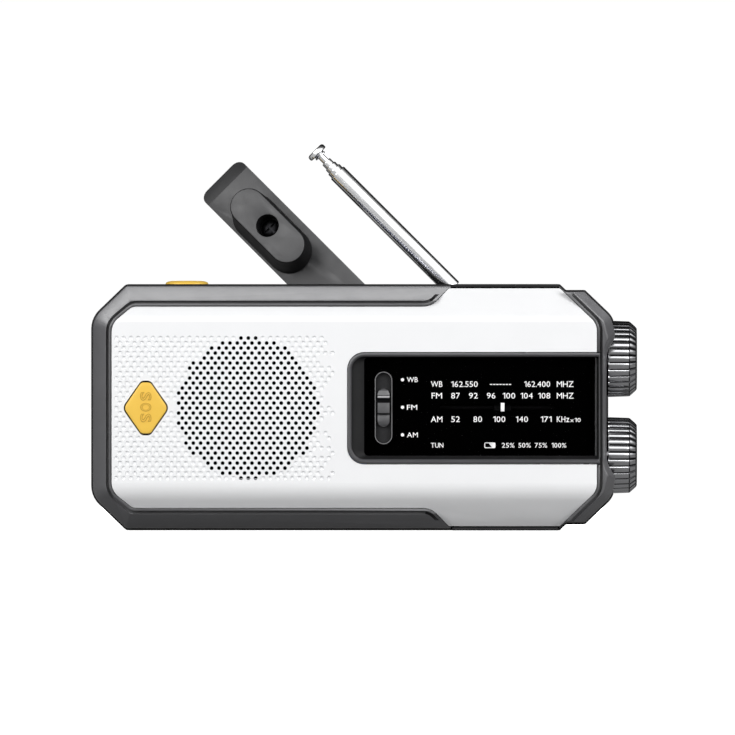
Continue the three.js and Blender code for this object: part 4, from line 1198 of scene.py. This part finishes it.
# ------------------------------------------------------------------ aerial
def aerial():
    A = T(ANT_X, ANT_Y, ANT_Z) @ R("Y", -(180 - ANT_ANGLE))
    radii = [2.88, 2.45, 2.03, 1.66, 1.1]
    ends = [59.3, 60.9, 62.4, 64.3, 66.3]
    bodies = ["aerial_base", "aerial_2", "aerial_3", "aerial_4"]
    for i in range(4):
        x0 = 7.7 if i == 0 else 8.6 + i * 0.6
        x1, ro, ri, rn = ends[i], radii[i], radii[i] - 0.22, radii[i + 1]
        t = lathe("aerial_section_%d" % (i + 1), [
            (ri, x0 + (0.6 if i == 0 else 0)), (ri, x1 - 0.7), (rn + 0.06, x1 - 0.45), (rn + 0.06, x1 - 0.05), (rn + 0.12, x1), (ro - 0.22, x1), (ro - 0.05, x1 - 0.12), (ro, x1 - 0.35),
            (ro, x0 + 0.2), (ro - 0.1, x0)] if i else [
            (0.0, x0 + 0.6), (ri, x0 + 0.6), (ri, x1 - 0.7), (rn + 0.06, x1 - 0.45), (rn + 0.06, x1 - 0.05), (rn + 0.12, x1), (ro - 0.22, x1), (ro - 0.05, x1 - 0.12), (ro, x1 - 0.35),
            (ro, x0 + 0.3), (ro - 0.3, x0), (0.0, x0)], 40, M["chrome"], smooth=28)
        move(t, A)
        done(t, bodies[i], "aerial_tube_%d" % (i + 1), slot="chrome_bright")
    e = ends[4]
    tip = lathe("aerial_tip", [(0, 11.5), (1.0, 11.5), (1.1, 11.7), (1.1, e + 0.1), (1.9, e + 0.3), (1.95, e + 0.6), (1.6, e + 0.95), (2.3, e + 1.15),
                               (3.0, e + 1.25), (3.2, e + 1.5), (3.2, e + 2.35), (3.0, e + 2.75), (2.5, e + 2.98), (1.6, e + 2.9), (1.2, e + 2.78), (0, e + 2.75)], 44, M["chrome"], smooth=35)
    move(tip, A)
    done(tip, "aerial_5", "aerial_rod", slot="chrome_bright")
    k = lathe("kn", [(1.7, -3.2), (3.05, -3.2), (3.3, -2.95), (3.3, 2.95), (3.05, 3.2), (1.7, 3.2)], 36, M["chrome"])
    move(k, R("Z", 90))
    neck = lathe("neck", [(0, 2.6), (2.35, 2.6), (2.35, 6.0), (2.1, 6.3), (2.1, 7.4), (0, 7.4)], 32, M["chrome"])
    add(k, neck)
    shade(k, 32)
    move(k, A)
    done(k, "aerial_base", "aerial_knuckle", slot="chrome_bright", mat=M["chrome"])
    s = lathe("aerial_pivot_screw", [(0, 15.4), (1.35, 15.4), (1.35, 25.22), (2.7, 25.22), (2.9, 25.4), (2.9, 25.75), (2.6, 25.94), (0, 25.94)], 36, M["steel"])
    move(s, R("Z", 90))
    cut(s, box("sl", -1.9, 1.9, 25.55, 27, -0.35, 0.35))
    shade(s, 32)
    move(s, T(ANT_X, 0, ANT_Z))
    done(s, "case", "aerial_pivot", slot="chrome_bright", mat=M["steel"])


aerial()


# ------------------------------------------------------------------ back, end and top details
for i, (x, z) in enumerate(SCREWS):
    s = lathe("shell_screw_%d" % (i + 1), [(0, 10), (1.2, 10), (1.35, 10.3), (1.35, 24.1), (2.5, 24.1), (2.7, 24.3), (2.7, 24.9), (2.1, 25.4), (0, 25.6)], 32, M["steel"])
    move(s, R("Z", 90))
    cut(s, box("x1", -1.5, 1.5, 24.8, 27, -0.32, 0.32), box("x2", -0.32, 0.32, 24.8, 27, -1.5, 1.5))
    shade(s, 32)
    move(s, T(x, 0, z) @ R("Y", 20 + 31 * i))
    done(s, "case", "case_screw_%d" % (i + 1), slot="steel", mat=M["steel"])

lens_t = lathe("torch_window", [(0, -82.05), (8.9, -82.05), (9.6, -81.85), (9.85, -81.6), (9.85, -80.9), (0, -80.9)], 64, M["lamp"])
move(lens_t, T(0, 8, MID))
done(lens_t, "case", "torch_lens", slot="lamp_clear")
refl = lathe("torch_bowl", [(2.4, -71.7)] + [(2.5 + 7.3 * math.sqrt(k / 10.0) * 0.99, -72.2 - 8.2 * k / 10.0) for k in range(1, 11)] + [(9.85, -80.6), (9.85, -79.6)]
             + [(3.0 + 7.0 * math.sqrt(k / 8.0), -71.5 - 7.6 * k / 8.0) for k in range(7, 0, -1)] + [(3.4, -71.5)], 64, M["reflector"])
move(refl, T(0, 8, MID))
done(refl, "case", "torch_reflector", slot="reflector")
ld = lathe("torch_lamp", [(0, -75.7), (0.9, -75.55), (1.55, -75.0), (1.9, -74.2), (1.9, -72.6), (2.2, -72.5), (2.2, -71.2), (6, -71.1), (6, -69.8), (0, -69.8)], 40, M["led"])
move(ld, T(0, 8, MID))
done(ld, "case", "torch_led", slot="led")

sp = box("solar_frame", -35.7, 29.7, -1.2, 14.2, CASE_H - 1.4, CASE_H - 0.3, M["black"])
bevel(sp, 0.2, 2, 40)
cells = []
for i in range(6):
    a = -34.6 + i * 10.65
    c = box("cell", a, a + 10.2, -0.2, 13.2, CASE_H - 0.4, CASE_H - 0.2, M["cell_si"])
    bevel(c, 0.12, 1, 40)
    cells.append(c)
    for k in range(2):
        y = 3.9 + 5.2 * k
        cells.append(box("bus", a + 0.2, a + 10.0, y - 0.12, y + 0.12, CASE_H - 0.25, CASE_H - 0.17, M["busbar"]))
    for k in range(12):
        xx = a + 0.7 + k * 0.8
        cells.append(box("fin", xx - 0.03, xx + 0.03, 0.1, 12.9, CASE_H - 0.25, CASE_H - 0.18, M["busbar"]))
spj = join_objs("solar_cells", [sp] + cells)
shade(spj, 32)
done(spj, "case", "solar_panel", slot="solar")

fl = prism("flap_plate", rrect(42.0, 66.0, 12.9, 25.2, [0.4, 1.2, 1.2, 0.4], 5), 24.95, 25.9, M["rubber"])
add(fl, cyl_x("fb", 25.5, 12.9, 42.0, 66.0, 0.93, 28))
cut(fl, stack("fr", [at_y(rrect(43.6, 64.4, 15.2, 23.6, 1.0, 5), 25.6), at_y(rrect(43.2, 64.8, 14.8, 24.0, 1.3, 5), 26.4)]))
add(fl, prism("fi", rrect(44.6, 63.4, 16.2, 22.6, 0.8, 5), 25.3, 25.82))
for k in range(3):
    cut(fl, box("ft", 50.5, 57.5, 25.70, 27, 24.35 - 0.0 + k * 0.28 - 0.05, 24.35 + k * 0.28 + 0.06))
bevel(fl, 0.1, 2, 40)
done(fl, "flap", "port_flap", slot="rubber_black", mat=M["rubber"])

# ------------------------------------------------------------------ CAD nodes that stay, with better materials
keep = {"pointer_rail": "groove", "band_switch": "groove", "sos_switch": "pcb", "top_switch": "pcb", "tuning_capacitor": "cap", "volume_pot": "steel",
        "speaker_frame": "steel", "speaker_cone": "cloth", "speaker_magnet": "steel", "main_pcb": "pcb", "battery_cell": "cell", "battery_holder": "black",
        "ferrite_rod": "ferrite", "aerial_coil": "copper", "port_board": "black", "charge_socket": "steel", "usb_socket": "steel", "tuning_shaft": "steel",
        "volume_shaft": "steel", "drive_gear": "nylon", "idler_gear": "nylon", "generator_rotor": "steel", "generator_can": "steel", "gear_plate": "steel"}
for node, m in keep.items():
    o = frame["nodes"][node]
    if not o.material_slots:
        continue
    for s in o.material_slots:
        s.material = M[m]

# ------------------------------------------------------------------ stage, light and camera
def plane(name, pts, mat):
    me = bpy.data.meshes.new(name)
    me.from_pydata(pts, [], [tuple(range(len(pts)))])
    me.materials.append(mat)
    ob = bpy.data.objects.new(name, me)
    bpy.context.scene.collection.objects.link(ob)
    return ob


fm, fnt, fb = new_mat("floor_pale")
ftc = fnt.nodes.new("ShaderNodeTexCoord")
flp = fnt.nodes.new("ShaderNodeLightPath")
fmx = fnt.nodes.new("ShaderNodeMix")
fmx.data_type = "RGBA"
fnt.links.new(flp.outputs["Is Camera Ray"], fmx.inputs[0])
fmx.inputs[6].default_value = (0.22, 0.22, 0.22, 1)
fnt.links.new(two_tone(fnt, ftc.outputs["Object"], 3, (0.86, 0.86, 0.86), (0.88, 0.88, 0.88)), fmx.inputs[7])
fnt.links.new(fmx.outputs[2], fb.inputs["Base Color"])
def fmath(op, a, b):
    m = fnt.nodes.new("ShaderNodeMath")
    m.operation = op
    for i, v in enumerate((a, b)):
        if isinstance(v, (int, float)):
            m.inputs[i].default_value = v
        else:
            fnt.links.new(v, m.inputs[i])
    return m.outputs[0]


fsp = fnt.nodes.new("ShaderNodeSeparateXYZ")
fnt.links.new(ftc.outputs["Object"], fsp.inputs["Vector"])
fmr = fnt.nodes.new("ShaderNodeMapRange")
fmr.inputs["From Min"].default_value = -0.02
fmr.inputs["From Max"].default_value = 0.14
fmr.inputs["To Min"].default_value = 0.28
fmr.inputs["To Max"].default_value = 0.0
fnt.links.new(fsp.outputs["Y"], fmr.inputs["Value"])
glow = fmath("ADD", fmath("MULTIPLY", flp.outputs["Is Camera Ray"], 0.74), fmath("MULTIPLY", flp.outputs["Is Glossy Ray"], fmr.outputs["Result"]))
fb.inputs["Emission Color"].default_value = (1, 1, 1, 1)
fnt.links.new(glow, fb.inputs["Emission Strength"])
fb.inputs["Roughness"].default_value = 0.95
fb.inputs["Specular IOR Level"].default_value = 0.0
floor = plane("floor", [(-24, -24, 0), (24, -24, 0), (24, 24, 0), (-24, 24, 0)], fm)

scene = bpy.context.scene
world = bpy.data.worlds.new("studio")
scene.world = world
world.use_nodes = True
wn = world.node_tree
bg = wn.nodes["Background"]
# a white room: the camera sees it plain, diffuse light is even, and gloss sees a bright ceiling with dark ends


def node(kind, **kw):
    o = wn.nodes.new(kind)
    for k, v in kw.items():
        setattr(o, k, v)
    return o


def link(a, b):
    wn.links.new(a, b)


def ramp_of(src, stops):
    """A smooth curve through (position 0..1, value 0..10) stops."""
    r = node("ShaderNodeValToRGB")
    r.color_ramp.interpolation = "EASE"
    el = r.color_ramp.elements
    while len(el) > 1:
        el.remove(el[-1])
    el[0].position = stops[0][0]
    el[0].color = (stops[0][1] / 10,) * 3 + (1,)
    for p, v in stops[1:]:
        e = el.new(p)
        e.color = (v / 10,) * 3 + (1,)
    link(src, r.inputs["Fac"])
    m = node("ShaderNodeMath", operation="MULTIPLY")
    link(r.outputs["Color"], m.inputs[0])
    m.inputs[1].default_value = 10
    return m.outputs[0]


geo = node("ShaderNodeTexCoord")
sep = node("ShaderNodeSeparateXYZ")
link(geo.outputs["Generated"], sep.inputs["Vector"])


def unit(axis):
    m = node("ShaderNodeMath", operation="MULTIPLY_ADD")
    link(sep.outputs[axis], m.inputs[0])
    m.inputs[1].default_value = 0.5
    m.inputs[2].default_value = 0.5
    return m.outputs[0]


by_height = ramp_of(unit("Z"), [(0.0, 0.55), (0.5, 0.7), (0.57, 1.0), (0.68, 3.0), (0.75, 5.5), (0.82, 5.0), (0.89, 1.0), (0.94, 0.3), (1.0, 0.25)])
by_depth = ramp_of(unit("Y"), [(0.0, 10.0), (0.25, 9.0), (0.45, 5.2), (0.58, 1.4), (0.68, 0.15), (0.78, 0.05), (1.0, 0.03)])
gl = node("ShaderNodeMath", operation="MULTIPLY")
link(by_height, gl.inputs[0])
link(by_depth, gl.inputs[1])
gl2 = node("ShaderNodeMath", operation="MULTIPLY")
link(gl.outputs[0], gl2.inputs[0])
gl2.inputs[1].default_value = 0.1
lp = node("ShaderNodeLightPath")
m1 = node("ShaderNodeMix", data_type="FLOAT")
link(lp.outputs["Is Glossy Ray"], m1.inputs[0])
m1.inputs[2].default_value = 0.36
link(gl2.outputs[0], m1.inputs[3])
m2 = node("ShaderNodeMix", data_type="FLOAT")
link(lp.outputs["Is Camera Ray"], m2.inputs[0])
link(m1.outputs[0], m2.inputs[2])
m2.inputs[3].default_value = 1.02
link(m2.outputs[0], bg.inputs["Strength"])
bg.inputs["Color"].default_value = (1, 1, 1, 1)
world.cycles.sampling_method = "NONE"


def area(name, loc, target, size_x, size_y, power, col=(1, 1, 1)):
    L = bpy.data.lights.new(name, "AREA")
    L.shape = "RECTANGLE"
    L.size, L.size_y = size_x, size_y
    L.energy = power
    L.color = col
    o = bpy.data.objects.new(name, L)
    bpy.context.scene.collection.objects.link(o)
    o.location = loc
    o.visible_camera = False
    d = Vector(target) - Vector(loc)
    o.rotation_euler = d.to_track_quat("-Z", "Y").to_euler()
    return o


C = (0.0, 0.0, 0.045)
area("key_left", (-0.60, -0.84, 0.37), C, 0.42, 0.5, 5.95)
area("key_right", (0.60, -0.84, 0.37), C, 0.42, 0.5, 5.95)
rear = area("rear_fill", (0.35, 1.1, 0.55), C, 0.8, 0.6, 22.0)
rear.visible_glossy = False

# strips over the guards only
lit = bpy.data.collections.new("strip_lit")
for o in (left, right):
    lit.objects.link(o)
for nm, loc, sx, sy, p in (("strip_top", (0.0, -0.10, 0.85), 1.1, 0.45, 13.0), ("strip_left", (-0.62, -0.10, 0.62), 0.45, 0.45, 5.2), ("strip_right", (0.62, -0.10, 0.62), 0.45, 0.45, 3.6)):
    o = area(nm, loc, C, sx, sy, p)
    o.light_linking.receiver_collection = lit

cam = bpy.data.cameras.new("cam")
camo = bpy.data.objects.new("cam", cam)
bpy.context.scene.collection.objects.link(camo)
DIST = 8.0
camo.location = (0.00424, FRONT_Y * MM - DIST, 0.05109)
camo.rotation_euler = (math.pi / 2, 0, 0)
cam.sensor_width = 36.0
cam.lens = 36.0 * DIST / 0.23008
cam.clip_end = 100
cam.clip_start = 0.05
scene.camera = camo
scene.view_settings.view_transform = "Standard"
